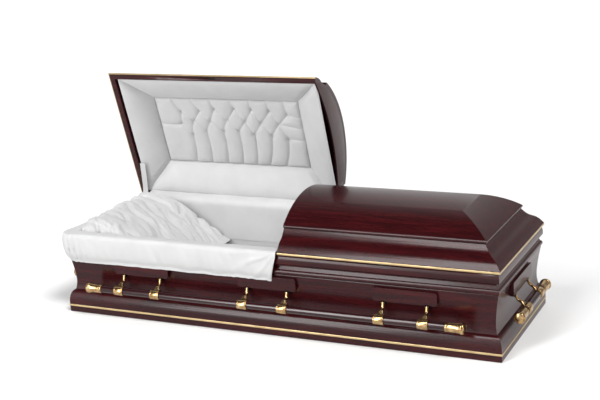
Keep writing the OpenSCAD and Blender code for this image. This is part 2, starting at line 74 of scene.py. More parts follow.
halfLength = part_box("plinth")[1].x / mm
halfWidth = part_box("plinth")[1].y / mm
lidFacts = {"openAngle": 73.6, "underside": 380, "headCut": 62, "footCut": 67}
hingeJoint = [joint for joint in frame["joints"] if joint["name"] == "head_lid_hinge"][0]
hingePoint = Vector(hingeJoint["pos_m"])
openTurn = (
    Matrix.Translation(hingePoint)
    @ Matrix.Rotation(math.radians(-lidFacts["openAngle"]), 4, "X")
    @ Matrix.Translation(-hingePoint)
)


# --- node and colour helpers ---
def toLinear(code):
    parts = [int(code[i : i + 2], 16) / 255 for i in (1, 3, 5)]
    return [p / 12.92 if p <= 0.04045 else ((p + 0.055) / 1.055) ** 2.4 for p in parts] + [1]


def addNode(tree, kind, settings=None, inputs=None):
    made = tree.nodes.new(kind)
    for key, value in (settings or {}).items():
        setattr(made, key, value)
    for key, value in (inputs or {}).items():
        if isinstance(value, bpy.types.NodeSocket):
            tree.links.new(value, made.inputs[key])
        else:
            made.inputs[key].default_value = value
    return made


def addRamp(tree, factor, stops):
    made = addNode(tree, "ShaderNodeValToRGB", {}, {"Fac": factor})
    elements = made.color_ramp.elements
    while len(elements) < len(stops):
        elements.new(0.5)
    for element, (where, code) in zip(elements, stops):
        element.position = where
        element.color = toLinear(code) if isinstance(code, str) else (code, code, code, 1)
    return made.outputs["Color"]


def startMaterial(name):
    made = bpy.data.materials.new(name)
    made.use_nodes = True
    tree = made.node_tree
    tree.nodes.clear()
    where = addNode(tree, "ShaderNodeTexCoord").outputs["Object"]
    return made, tree, where


def scaled(tree, where, x, y, z):  # pattern sizes in mm along each axis
    return addNode(
        tree,
        "ShaderNodeMapping",
        {},
        {"Vector": where, "Scale": (1 / (x * mm), 1 / (y * mm), 1 / (z * mm))},
    ).outputs["Vector"]


def addNoise(tree, where, size, detail=3, roughness=0.5, distortion=0):
    return addNode(
        tree,
        "ShaderNodeTexNoise",
        {},
        {
            "Vector": scaled(tree, where, *size),
            "Scale": 1,
            "Detail": detail,
            "Roughness": roughness,
            "Distortion": distortion,
        },
    ).outputs["Fac"]


def finishMaterial(made, tree, shader):
    addNode(tree, "ShaderNodeOutputMaterial", {}, {"Surface": shader})
    return made


# --- materials ---
mahoganyLook = {
    "pore": "#150406",
    "dark": "#240609",
    "mid": "#32090d",
    "light": "#440e12",
    "grain": 340,
    "figure": 22,
    "poreSize": 1.1,
    "roughness": 0.24,
    "coat": 0.2,
    "coatRoughness": 0.07,
}


def makeMahogany(name, along, look):
    # stained mahogany veneer under satin lacquer: long dark grain seen through a smooth reflecting film
    made, tree, where = startMaterial(name)
    stretch = [look["figure"]] * 3
    stretch[along] = look["grain"]
    pores = [look["poreSize"]] * 3
    pores[along] = look["poreSize"] * 28
    figure = addNoise(tree, where, stretch, 5, 0.55, 0.8)
    fine = addNoise(tree, where, pores, 3, 0.6)
    colour = addRamp(
        tree, figure, [(0.25, look["dark"]), (0.5, look["mid"]), (0.75, look["light"])]
    )
    poreMask = addRamp(tree, fine, [(0.36, 1.0), (0.47, 0.0)])
    mixed = addNode(
        tree,
        "ShaderNodeMix",
        {"data_type": "RGBA"},
        {"Factor": poreMask, "A": colour, "B": toLinear(look["pore"])},
    )
    rough = addNode(
        tree,
        "ShaderNodeMapRange",
        {},
        {"Value": figure, "To Min": look["roughness"] - 0.05, "To Max": look["roughness"] + 0.06},
    )
    bump = addNode(
        tree,
        "ShaderNodeBump",
        {},
        {"Height": fine, "Strength": 0.12, "Distance": 0.2 * mm},
    )
    shader = addNode(
        tree,
        "ShaderNodeBsdfPrincipled",
        {},
        {
            "Base Color": mixed.outputs["Result"],
            "Roughness": rough.outputs["Result"],
            "Normal": bump.outputs["Normal"],
            "IOR": 1.28,
            "Coat Weight": look["coat"],
            "Coat Roughness": look["coatRoughness"],
            "Coat IOR": 1.4,
        },
    )
    return finishMaterial(made, tree, shader.outputs["BSDF"])


brassLook = {"deep": "#856641", "mid": "#b7976a", "light": "#d9c29a", "roughness": 0.17}


def makeBrass(name, look):
    # cast brass, polished and lacquered: warm mirror-like highlights, darker where the polish is worn
    made, tree, where = startMaterial(name)
    cloud = addNoise(tree, where, (14, 14, 14), 4, 0.6)
    fine = addNoise(tree, where, (0.9, 0.9, 0.9), 2, 0.5)
    colour = addRamp(tree, cloud, [(0.3, look["deep"]), (0.52, look["mid"]), (0.75, look["light"])])
    rough = addNode(
        tree,
        "ShaderNodeMapRange",
        {},
        {"Value": cloud, "To Min": look["roughness"] - 0.04, "To Max": look["roughness"] + 0.12},
    )
    bump = addNode(
        tree, "ShaderNodeBump", {}, {"Height": fine, "Strength": 0.06, "Distance": 0.1 * mm}
    )
    shader = addNode(
        tree,
        "ShaderNodeBsdfPrincipled",
        {},
        {
            "Base Color": colour,
            "Metallic": 1.0,
            "Roughness": rough.outputs["Result"],
            "Normal": bump.outputs["Normal"],
        },
    )
    return finishMaterial(made, tree, shader.outputs["BSDF"])


goldLook = {"deep": "#a8895a", "light": "#d6bf93", "roughness": 0.28}


def makeGoldLine(name, look):
    # champagne-gold metal strip let into the wood: a pale, soft sheen along its length
    made, tree, where = startMaterial(name)
    streak = addNoise(tree, where, (60, 60, 1.5), 3, 0.5)
    colour = addRamp(tree, streak, [(0.25, look["deep"]), (0.6, look["light"])])
    bump = addNode(
        tree, "ShaderNodeBump", {}, {"Height": streak, "Strength": 0.05, "Distance": 0.1 * mm}
    )
    shader = addNode(
        tree,
        "ShaderNodeBsdfPrincipled",
        {},
        {
            "Base Color": colour,
            "Metallic": 1.0,
            "Roughness": look["roughness"],
            "Normal": bump.outputs["Normal"],
        },
    )
    return finishMaterial(made, tree, shader.outputs["BSDF"])


steelLook = {"deep": "#1c1b1a", "light": "#3a3733", "roughness": 0.42}


def makeDarkSteel(name, look):
    # blackened steel of hinges and catches: dull grey highlights with slight mottling
    made, tree, where = startMaterial(name)
    cloud = addNoise(tree, where, (9, 9, 9), 4, 0.6)
    colour = addRamp(tree, cloud, [(0.3, look["deep"]), (0.7, look["light"])])
    bump = addNode(
        tree, "ShaderNodeBump", {}, {"Height": cloud, "Strength": 0.08, "Distance": 0.2 * mm}
    )
    shader = addNode(
        tree,
        "ShaderNodeBsdfPrincipled",
        {},
        {
            "Base Color": colour,
            "Metallic": 1.0,
            "Roughness": look["roughness"],
            "Normal": bump.outputs["Normal"],
        },
    )
    return finishMaterial(made, tree, shader.outputs["BSDF"])


satinLook = {
    "shade": "#bebebe",
    "light": "#c4c4c4",
    "thread": 0.55,
    "crease": 26,
    "roughness": 0.5,
    "sheen": 0.25,
}


def makeSatin(name, look):
    # white polyester satin: a soft lustre that slides over folds, with a fine thread across it
    made, tree, where = startMaterial(name)
    cloud = addNoise(tree, where, (90, 90, 90), 3, 0.5)
    crease = addNoise(tree, where, (look["crease"], look["crease"], look["crease"]), 4, 0.55, 0.6)
    thread = addNoise(tree, where, (look["thread"] * 6, look["thread"] * 6, look["thread"]), 2, 0.5)
    colour = addRamp(tree, cloud, [(0.3, look["shade"]), (0.7, look["light"])])
    soft = addNode(
        tree, "ShaderNodeBump", {}, {"Height": crease, "Strength": 0.16, "Distance": 4 * mm}
    )
    fine = addNode(
        tree,
        "ShaderNodeBump",
        {},
        {
            "Height": thread,
            "Strength": 0.1,
            "Distance": 0.15 * mm,
            "Normal": soft.outputs["Normal"],
        },
    )
    shader = addNode(
        tree,
        "ShaderNodeBsdfPrincipled",
        {},
        {
            "Base Color": colour,
            "Roughness": look["roughness"],
            "Normal": fine.outputs["Normal"],
            "Specular IOR Level": 0.4,
            "Sheen Weight": look["sheen"],
            "Sheen Roughness": 0.4,
        },
    )
    return finishMaterial(made, tree, shader.outputs["BSDF"])


plainLook = {"deep": "#8d6f4f", "light": "#b89470", "roughness": 0.7}


def makePlainWood(name, look):
    # unfinished plywood of the floor board: pale, dull, with faint long grain
    made, tree, where = startMaterial(name)
    grain = addNoise(tree, where, (300, 9, 9), 5, 0.6, 0.5)
    colour = addRamp(tree, grain, [(0.3, look["deep"]), (0.7, look["light"])])
    bump = addNode(
        tree, "ShaderNodeBump", {}, {"Height": grain, "Strength": 0.15, "Distance": 0.3 * mm}
    )
    shader = addNode(
        tree,
        "ShaderNodeBsdfPrincipled",
        {},
        {
            "Base Color": colour,
            "Roughness": look["roughness"],
            "Normal": bump.outputs["Normal"],
        },
    )
    return finishMaterial(made, tree, shader.outputs["BSDF"])


barLook = dict(mahoganyLook, pore="#100406", dark="#20080b", mid="#2b0c10", light="#381215",
               figure=9, roughness=0.16, coat=0.6, coatRoughness=0.07)
mahoganyX = makeMahogany("mahogany_long", 0, mahoganyLook)
mahoganyY = makeMahogany("mahogany_across", 1, mahoganyLook)
barWoodX = makeMahogany("bar_mahogany_long", 0, barLook)
barWoodY = makeMahogany("bar_mahogany_across", 1, barLook)
brass = makeBrass("polished_brass", brassLook)
goldLine = makeGoldLine("gold_strip", goldLook)
darkSteel = makeDarkSteel("blackened_steel", steelLook)
satin = makeSatin("white_satin", satinLook)
plainWood = makePlainWood("plywood", plainLook)
print("materials made")


# --- mesh helpers ---
def place(side, run, inset, height):  # a point along a side, in from the plinth's face, and up
    if side == "front":
        point = (run, -halfWidth + inset)
    elif side == "back":
        point = (-run, halfWidth - inset)
    elif side == "foot":
        point = (halfLength - inset, run)
    else:
        point = (-halfLength + inset, -run)
    return Vector((point[0], point[1], height)) * mm


def arcPoints(centre, radiusX, radiusY, fromAngle, toAngle, count):
    angles = [math.radians(fromAngle + (toAngle - fromAngle) * i / count) for i in range(count + 1)]
    return [(centre[0] + radiusX * math.cos(a), centre[1] + radiusY * math.sin(a)) for a in angles]


def softenOutline(outline, radius, limit=28):  # rounds the sharp corners of a closed outline
    made = []
    for i, point in enumerate(outline):
        corner = Vector(point)
        before = Vector(outline[i - 1]) - corner
        after = Vector(outline[(i + 1) % len(outline)]) - corner
        if math.degrees((-before).angle(after)) < limit:
            made.append(tuple(corner))
            continue
        reach = min(radius, before.length * 0.4, after.length * 0.4)
        start = corner + before.normalized() * reach
        end = corner + after.normalized() * reach
        for t in (0, 0.25, 0.5, 0.75, 1):
            made.append(tuple(start * (1 - t) ** 2 + corner * 2 * t * (1 - t) + end * t**2))
    return made


def smoothLine(points, count):  # a spline through points, evenly spaced
    ends = [2 * Vector(points[0]) - Vector(points[1]), 2 * Vector(points[-1]) - Vector(points[-2])]
    known = [ends[0]] + [Vector(p) for p in points] + [ends[1]]
    fine = []
    for i in range(1, len(known) - 2):
        p0, p1, p2, p3 = known[i - 1 : i + 3]
        for k in range(16):
            t = k / 16
            fine.append(
                0.5 * (2 * p1 + (p2 - p0) * t + (2 * p0 - 5 * p1 + 4 * p2 - p3) * t**2
                       + (3 * p1 - p0 - 3 * p2 + p3) * t**3)
            )
    fine.append(known[-2])
    return evenPoints(fine, count)


def evenPoints(points, count):
    steps = [0.0]
    for a, b in zip(points, points[1:]):
        steps.append(steps[-1] + (b - a).length)
    made = []
    k = 0
    for i in range(count):
        want = steps[-1] * i / (count - 1)
        while k < len(steps) - 2 and steps[k + 1] < want:
            k += 1
        share = (want - steps[k]) / max(steps[k + 1] - steps[k], 1e-9)
        made.append(points[k].lerp(points[k + 1], share))
    return made


def addRun(bm, outline, side, start=None, end=None, closed=True, caps=(False, False)):
    half = halfLength if side in ("front", "back") else halfWidth
    rows = []
    for inset, height in outline:
        a = -(half - inset) if start is None else start
        b = half - inset if end is None else end
        rows.append([bm.verts.new(place(side, along, inset, height)) for along in (a, b)])
    for i in range(len(rows) if closed else len(rows) - 1):
        first, second = rows[i], rows[(i + 1) % len(rows)]
        bm.faces.new((first[0], first[1], second[1], second[0]))
    for index, wanted in enumerate(caps):
        if wanted:
            bm.faces.new([row[index] for row in rows])


def finishMesh(bm, name, material, sharp=32, join=0.02):
    bmesh.ops.remove_doubles(bm, verts=bm.verts, dist=join * mm)
    bmesh.ops.dissolve_degenerate(bm, dist=0.001 * mm, edges=bm.edges)
    bmesh.ops.recalc_face_normals(bm, faces=bm.faces)
    for face in bm.faces:
        face.smooth = True
    for edge in bm.edges:
        if len(edge.link_faces) == 2 and edge.calc_face_angle(0) > math.radians(sharp):
            edge.smooth = False
    mesh = bpy.data.meshes.new(name)
    bm.to_mesh(mesh)
    bm.free()
    mesh.materials.append(material)
    made = bpy.data.objects.new(name, mesh)
    bpy.context.scene.collection.objects.link(made)
    return made


def applyModifiers(obj):
    graph = bpy.context.evaluated_depsgraph_get()
    mesh = bpy.data.meshes.new_from_object(obj.evaluated_get(graph))
    obj.modifiers.clear()
    obj.data = mesh


def cutWith(obj, cutter):
    made = obj.modifiers.new("cut", "BOOLEAN")
    made.operation = "DIFFERENCE"
    made.solver = "EXACT"
    made.object = cutter
    applyModifiers(obj)
    bpy.data.objects.remove(cutter)


def stand(obj, body, slotName, *nodes):  # the piece rides on a body in place of CAD nodes
    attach(obj, body)
    if nodes:
        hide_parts(*nodes)
    return obj


def openUp(obj):
    obj.data.transform(openTurn)


def softCopy(node, width, material, segments=2, angle=35):  # the CAD shape with eased edges
    source = frame["nodes"][node]
    bm = bmesh.new()
    bm.from_mesh(source.data)
    bmesh.ops.remove_doubles(bm, verts=bm.verts, dist=0.01 * mm)
    bmesh.ops.dissolve_limit(
        bm, angle_limit=math.radians(2), verts=bm.verts, edges=bm.edges
    )
    made = finishMesh(bm, node + "_shown", material, angle)
    ease = made.modifiers.new("ease", "BEVEL")
    ease.width = width * mm
    ease.segments = segments
    ease.limit_method = "ANGLE"
    ease.angle_limit = math.radians(angle)
    ease.harden_normals = False
    applyModifiers(made)
    for polygon in made.data.polygons:
        polygon.use_smooth = True
    made.data.set_sharp_from_angle(angle=math.radians(48))
    return made


# --- case ---
plinthFacts = {"height": 108, "shoulder": 46, "shoulderIn": 24, "bevel": 3, "wood": 60, "ease": 1.2,
               "lineLow": 29, "lineHigh": 38, "lineSunk": 2.5, "lineProud": 1.5}


def makePlinth(facts):
    shoulder = arcPoints(
        (facts["shoulderIn"], facts["shoulder"]),
        -facts["shoulderIn"], facts["height"] - 2 - facts["shoulder"], 0, 84, 28,
    )
    outline = (
        [(facts["bevel"], 0), (0, facts["bevel"]), (0, facts["lineLow"]), (facts["lineSunk"], facts["lineLow"]),
         (facts["lineSunk"], facts["lineHigh"]), (0, facts["lineHigh"])]
        + shoulder
        + [(facts["shoulderIn"], facts["height"]), (facts["wood"], facts["height"]), (facts["wood"], 0)]
    )
    outline = softenOutline(outline, facts["ease"])
    bm = bmesh.new()
    for side in ("front", "foot", "back", "head"):
        addRun(bm, outline, side)
    plinth = finishMesh(bm, "plinth_moulded", mahoganyX)
    plinth.data.materials.append(mahoganyY)
    for polygon in plinth.data.polygons:
        middle = polygon.center / mm
        polygon.material_index = int(abs(middle.x) - halfLength > abs(middle.y) - halfWidth)
    stand(plinth, "case", "mahogany", "plinth")


def makeGoldLines(facts):
    low, high = facts["lineLow"] + 0.05, facts["lineHigh"] - 0.05
    section = softenOutline(
        [(facts["lineSunk"] - 0.02, low), (-facts["lineProud"], low), (-facts["lineProud"], high),
         (facts["lineSunk"] - 0.02, high)], 1.6)
    bm = bmesh.new()
    for side in ("front", "foot", "back", "head"):
        addRun(bm, section, side)
    stand(finishMesh(bm, "plinth_gold_strip", goldLine), "case", "gold_line", "plinth_gold_line")


wallFacts = {"footIn": 26, "waistIn": 32.5, "waistUp": 47, "innerFace": 52, "top": 378, "bandIn": 8,
             "bandHigh": 40, "beadIn": 23.5, "beadRadius": 14, "beadBelowBand": 40.5,
             "bandShape": [(0.6, -39.5), (0, -34), (0.2, -27), (1.2, -18), (3.4, -9), (6.5, -2.5), (9, 0)],
              "ease": 1.5, "lockLong": 58, "lockHigh": 7, "lockDeep": 6, "lockAt": 564}


def wallOutline(facts):
    base = plinthFacts["height"]
    waist = base + facts["waistUp"]
    beadAt = facts["top"] - facts["bandHigh"] - facts["beadBelowBand"]
    coveTop = beadAt - facts["beadRadius"] - 0.5
    coveIn = facts["beadIn"] - facts["beadRadius"] + 6
    lower = []
    for i in range(10):
        t = 1 - i / 10
        inset = facts["waistIn"] - (facts["waistIn"] - facts["footIn"]) * t**2
        lower.append((inset, base + facts["waistUp"] * (1 - t)))
    upper = []
    for i in range(31):
        t = i / 30
        upper.append((facts["waistIn"] - (facts["waistIn"] - coveIn) * t**1.6, waist + (coveTop - waist) * t))
    bead = arcPoints((facts["beadIn"], beadAt), -facts["beadRadius"], facts["beadRadius"], -62, 66, 24)
    cove = arcPoints((facts["bandIn"] + 0.6, facts["top"] - facts["bandHigh"] - 14), 16, 14, 0, 90, 12)
    band = [Vector(p) for p in facts["bandShape"]]
    band = [(facts["bandIn"] + p.x, facts["top"] + p.y) for p in smoothLine(band, 22)]
    return lower + upper + bead + cove + band


def makeWalls(facts):
    outer = wallOutline(facts)
    outline = softenOutline(
        outer + [(facts["innerFace"], facts["top"]), (facts["innerFace"], plinthFacts["height"])],
        facts["ease"], 40)
    for side in ("front", "back", "head", "foot"):
        bm = bmesh.new()
        addRun(bm, outline, side, caps=(True, True))
        material = mahoganyX if side in ("front", "back") else mahoganyY
        wall = finishMesh(bm, side + "_wall_moulded", material, 26)
        if side == "front":
            start = facts["lockAt"] - facts["lockLong"] / 2
            low = Vector((start, -halfWidth, facts["top"] - facts["lockHigh"]))
            high = Vector((facts["lockAt"] + facts["lockLong"] / 2,
                           -halfWidth + facts["bandIn"] + facts["lockDeep"], facts["top"] + 1))
            cutWith(wall, makeBlock("lock_cutter", low, high))
        stand(wall, "case", "mahogany", side + "_wall")


def makeBlock(name, low, high):
    bm = bmesh.new()
    bmesh.ops.create_cube(bm, size=1)
    for vert in bm.verts:
        vert.co = Vector([(low[i] + high[i]) / 2 + vert.co[i] * (high[i] - low[i]) for i in range(3)]) * mm
    return finishMesh(bm, name, mahoganyX)


makePlinth(plinthFacts)
makeGoldLines(plinthFacts)
makeWalls(wallFacts)
print("case made")


# --- lids ---
mouldingFacts = {"lidIn": 4.5, "railWide": 29, "railEdge": 11, "high": 101, "topIn": 88, "railHigh": 20,
                 "edgeLeft": 11, "seat": 108, "sway": 0.45, "ease": 1.2, "lineHigh": 9, "lineSunk": 2.5,
                 "lineProud": 1.5, "catchLong": 36, "catchWide": 12, "catchDeep": 6}
crownFacts = {"edgeIn": 80, "edgeHigh": 8, "rise": 101, "thick": 20}
lidSides = {"head": ("front", "back", "head"), "foot": ("front", "back", "foot")}


def runLimits(which, side):  # where a lid's run along a side starts and ends; None is a mitre
    cut = lidFacts["headCut"] if which == "head" else lidFacts["footCut"]
    if side in ("head", "foot"):
        return None, None
    if which == "head":
        return (None, cut) if side == "front" else (-cut, None)
    return (cut, None) if side == "front" else (None, -cut)


def mouldingOutline(facts, withLine):
    base = lidFacts["underside"]
    edge = facts["lidIn"]
    groove = [(edge, base)]
    if withLine:
        groove = [(edge + facts["lineSunk"], base), (edge + facts["lineSunk"], base + facts["lineHigh"]),
                  (edge, base + facts["lineHigh"])]
    sweep = []
    for i in range(49):
        t = i / 48
        rise = t + facts["sway"] * math.sin(2 * math.pi * t) / (2 * math.pi)
        sweep.append((edge + (facts["topIn"] - edge) * t,
                      base + facts["railEdge"] + (facts["high"] - facts["railEdge"] - 3) * rise))
    top = base + facts["high"]
    inner = [(facts["topIn"], top), (facts["seat"], top), (facts["seat"], top - facts["edgeLeft"]),
             (edge + facts["railWide"], base + facts["railHigh"]), (edge + facts["railWide"], base)]
    return groove + sweep + inner


def makeMoulding(which, facts):
    bm = bmesh.new()
    for side in lidSides[which]:
        start, end = runLimits(which, side)
        outline = softenOutline(mouldingOutline(facts, side != "back"), facts["ease"], 35)
        addRun(bm, outline, side, start, end, caps=(start is not None, end is not None))
    moulding = finishMesh(bm, which + "_lid_moulding", mahoganyX, 28)
    catchAt = (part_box(which + "_catch_plate")[0].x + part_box(which + "_catch_plate")[1].x) / 2
    cutWith(moulding, makeCatchCutter(catchAt / mm, facts))
    return moulding


def makeCatchCutter(catchAt, facts):
    reach = (facts["catchLong"] - facts["catchWide"]) / 2
    radius = facts["catchWide"] / 2
    middle = -halfWidth + facts["lidIn"] + facts["railWide"] / 2
    outline = arcPoints((catchAt + reach, middle), radius, radius, -90, 90, 16)
    outline += arcPoints((catchAt - reach, middle), radius, radius, 90, 270, 16)
    bm = bmesh.new()
    base = lidFacts["underside"]
    low = [bm.verts.new(Vector((x, y, base - 1)) * mm) for x, y in outline]
    high = [bm.verts.new(Vector((x, y, base + facts["catchDeep"])) * mm) for x, y in outline]
    for i in range(len(low)):
        k = (i + 1) % len(low)
        bm.faces.new((low[i], low[k], high[k], high[i]))
    bm.faces.new(low)
    bm.faces.new(high)
    return finishMesh(bm, "catch_cutter", mahoganyX)


def makeLidStrip(which, facts):
    base = lidFacts["underside"]
    edge = facts["lidIn"]
    section = softenOutline(
        [(edge + facts["lineSunk"] - 0.02, base), (edge - facts["lineProud"], base),
         (edge - facts["lineProud"], base + facts["lineHigh"] - 0.05),
         (edge + facts["lineSunk"] - 0.02, base + facts["lineHigh"] - 0.05)], 1.6)
    bm = bmesh.new()
    for side in lidSides[which]:
        if side == "back":
            continue
        start, end = runLimits(which, side)
        if side in ("head", "foot"):
            flip = side == "head"
            back = halfWidth - facts["lidIn"]
            start, end = (-back, None) if flip else (None, back)
        addRun(bm, section, side, start, end, caps=(start is not None, end is not None))
    return finishMesh(bm, which + "_lid_gold_strip", goldLine)


def crownCurve(facts, depth, low, count):
    half = halfWidth - facts["edgeIn"]
    radius = (half**2 + facts["rise"] ** 2) / (2 * facts["rise"])
    bottom = lidFacts["underside"] + mouldingFacts["high"] + facts["edgeHigh"]
    middle = bottom + facts["rise"] - radius
    radius -= depth
    first = math.acos((low - middle) / radius)
    angles = [first * (1 - i / count) for i in range(count + 1)]
    return [(halfWidth - radius * math.sin(a), middle + radius * math.cos(a)) for a in angles]


def makeCrown(which, facts):
    base = lidFacts["underside"] + mouldingFacts["high"]
    low = base + facts["edgeHigh"]
    edge = facts["edgeIn"]
    rim = [(edge + 1.5, base), (edge + 0.4, base + 0.7), (edge, base + 2), (edge, low - 3),
           (edge + 0.3, low - 1.5)]
    curve = crownCurve(facts, 0, low, 60)
    outer = rim + [(edge + 0.9, low - 0.2)] + curve[1:]
    inner = crownCurve(facts, facts["thick"], base, len(outer) - 1)
    bm = bmesh.new()
    for side in lidSides[which]:
        start, end = runLimits(which, side)
        addRun(bm, outer, side, start, end, closed=False)
        addRun(bm, inner, side, start, end, closed=False)
        addRun(bm, [outer[0], inner[0]], side, start, end, closed=False)
        if side in ("front", "back"):
            cut = start if start is not None else end
            for i in range(len(outer) - 1):
                ring = (outer[i], outer[i + 1], inner[i + 1], inner[i])
                bm.faces.new([bm.verts.new(place(side, cut, *p)) for p in ring])
    return finishMesh(bm, which + "_lid_crown", mahoganyX, 24)


def makeLids():
    for which in ("head", "foot"):
        body = which + "_lid"
        moulding = makeMoulding(which, mouldingFacts)
        strip = makeLidStrip(which, mouldingFacts)
        crown = makeCrown(which, crownFacts)
        if which == "head":
            for piece in (moulding, strip, crown):
                openUp(piece)
        stand(moulding, body, "mahogany", which + "_moulding")
        stand(strip, body, "gold_line", which + "_gold_line")
        stand(crown, body, "mahogany", which + "_crown")
        board = softCopy(which + "_end_board", 0.8, mahoganyY, 2, 40)
        if which == "head":
            face = Matrix.Translation((lidFacts["headCut"] * mm, 0, 0))
            board.data.transform(face @ Matrix.Diagonal((0.5, 1, 1, 1)) @ face.inverted())
        stand(board, body, "mahogany", which + "_end_board")


makeLids()
print("lids made")


# --- handles ---
boardFacts = {"ease": 9, "corner": 13}


def makeBoard(node, outward, wood, facts):  # rounded at its four corners, then all round its face
    bm = bmesh.new()
    bm.from_mesh(frame["nodes"][node].data)
    bmesh.ops.remove_doubles(bm, verts=bm.verts, dist=0.01 * mm)
    bmesh.ops.dissolve_limit(bm, angle_limit=math.radians(2), verts=bm.verts, edges=bm.edges)
    corners = []
    for edge in bm.edges:
        along = edge.verts[1].co - edge.verts[0].co
        sharp = len(edge.link_faces) == 2 and edge.calc_face_angle(0) > math.radians(50)
        if sharp and along.length > 6 * mm and abs(along.normalized()[outward]) > 0.8:
            corners.append(edge)
    if corners:
        bmesh.ops.bevel(bm, geom=corners, offset=facts["corner"] * mm, segments=6, profile=0.5, affect="EDGES")
    made = finishMesh(bm, node + "_shown", wood, 50)
    ease = made.modifiers.new("ease", "BEVEL")
    ease.width = facts["ease"] * mm
    ease.segments = 5
    ease.limit_method = "ANGLE"
    ease.angle_limit = math.radians(50)
    applyModifiers(made)
    return made


for handle, count in (("front", 3), ("back", 3), ("head", 0), ("foot", 0)):
    for node in [f"{handle}_handle_board_{k + 1}" for k in range(count)] or [handle + "_handle_board"]:
        wood = mahoganyX if count else mahoganyY
        stand(makeBoard(node, 1 if count else 0, wood, boardFacts), "case", "mahogany", node)


def turned(bm, profile, toWorld, steps=48):  # profile is (radius, along)
    rings = []
    for radius, along in profile:
        if radius < 1e-6:
            rings.append([bm.verts.new(toWorld(0, 0, along))] * steps)
            continue
        rings.append([
            bm.verts.new(toWorld(radius * math.cos(2 * math.pi * k / steps),
                                 radius * math.sin(2 * math.pi * k / steps), along))
            for k in range(steps)
        ])
    for a, b in zip(rings, rings[1:]):
        for k in range(steps):
            n = (k + 1) % steps
            corners = []
            for vert in (a[k], a[n], b[n], b[k]):
                if vert not in corners:
                    corners.append(vert)
            if len(corners) > 2:
                bm.faces.new(corners)


handleFacts = {"barRadius": 17.75, "pivotIn": 14, "pivotHigh": 205, "armOut": 50, "armDrop": 57, "tipLong": 84,
               "longBar": 1852, "endBar": 450, "tipRadius": 26, "tipNeck": 20.5, "barInTip": 60,
               "eyeRadius": 7, "armWide": 10, "armThick": 9, "ringWide": 46, "ringRadius": 22.25,
               "boardPitch": 648, "armPitch": 196, "pinHole": 3.06}


def barPoint(facts):
    return -facts["armOut"] + facts["pivotIn"], facts["pivotHigh"] - facts["armDrop"]


def makeBar(side, facts):
    length = facts["longBar"] if side in ("front", "back") else facts["endBar"]
    inset, height = barPoint(facts)
    half = length / 2

    def toWorld(a, b, along):
        return place(side, along, inset + a, height + b)

    radius = facts["barRadius"]
    inside = half - facts["tipLong"] + facts["barInTip"] - 0.3
    bm = bmesh.new()
    turned(bm, [(0, -inside), (radius, -inside), (radius, -half + facts["tipLong"] + 2),
                (radius, half - facts["tipLong"] - 2), (radius, inside), (0, inside)], toWorld, 64)
    wood = barWoodX if side in ("front", "back") else barWoodY
    stand(finishMesh(bm, side + "_bar_turned", wood), side + "_handle", "bar_wood", side + "_bar")
    bm = bmesh.new()
    neck, wide = facts["tipNeck"], facts["tipRadius"]
    inner = half - facts["tipLong"]
    for sign in (-1, 1):
        profile = [(radius, inner), (neck - 0.9, inner), (neck - 0.2, inner + 0.5), (neck, inner + 1.4),
                   (neck + 0.5, inner + 3), (neck + 0.7, inner + 5.5), (neck + 0.4, inner + 8.2),
                   (neck - 0.9, inner + 9.4), (neck - 0.9, inner + 10.4), (neck, inner + 11.6)]
        for i in range(1, 15):
            t = i / 14
            profile.append((neck + (wide - 3 - neck) * t**2.2, inner + 11.6 + 52 * t))
        profile += [(wide - 2.8, inner + 64.4), (wide - 1.2, inner + 65.3), (wide - 0.2, inner + 67.4),
                    (wide, inner + 70), (wide - 0.1, inner + 73.5), (wide - 0.8, inner + 76.8),
                    (wide - 2.4, inner + 79.6), (wide - 5, inner + 81.6), (wide - 6.4, inner + 81.9),
                    (wide - 7.2, inner + 81.2), (wide - 8, inner + 81.6), (wide - 11, inner + 82.8),
                    (wide - 17, inner + 83.7), (0, inner + 84),
                    (0, inner + facts["barInTip"]), (radius, inner + facts["barInTip"]), (radius, inner)]
        turned(bm, [(r, sign * a) for r, a in profile], toWorld, 64)
    stand(finishMesh(bm, side + "_bar_tips", brass, 40), side + "_handle", "brass", side + "_tips")


def armPlaces(side, facts):
    half = facts["armPitch"] / 2
    if side in ("front", "back"):
        return [board * facts["boardPitch"] + s * half for board in (-1, 0, 1) for s in (-1, 1)]
    return [-half, half]


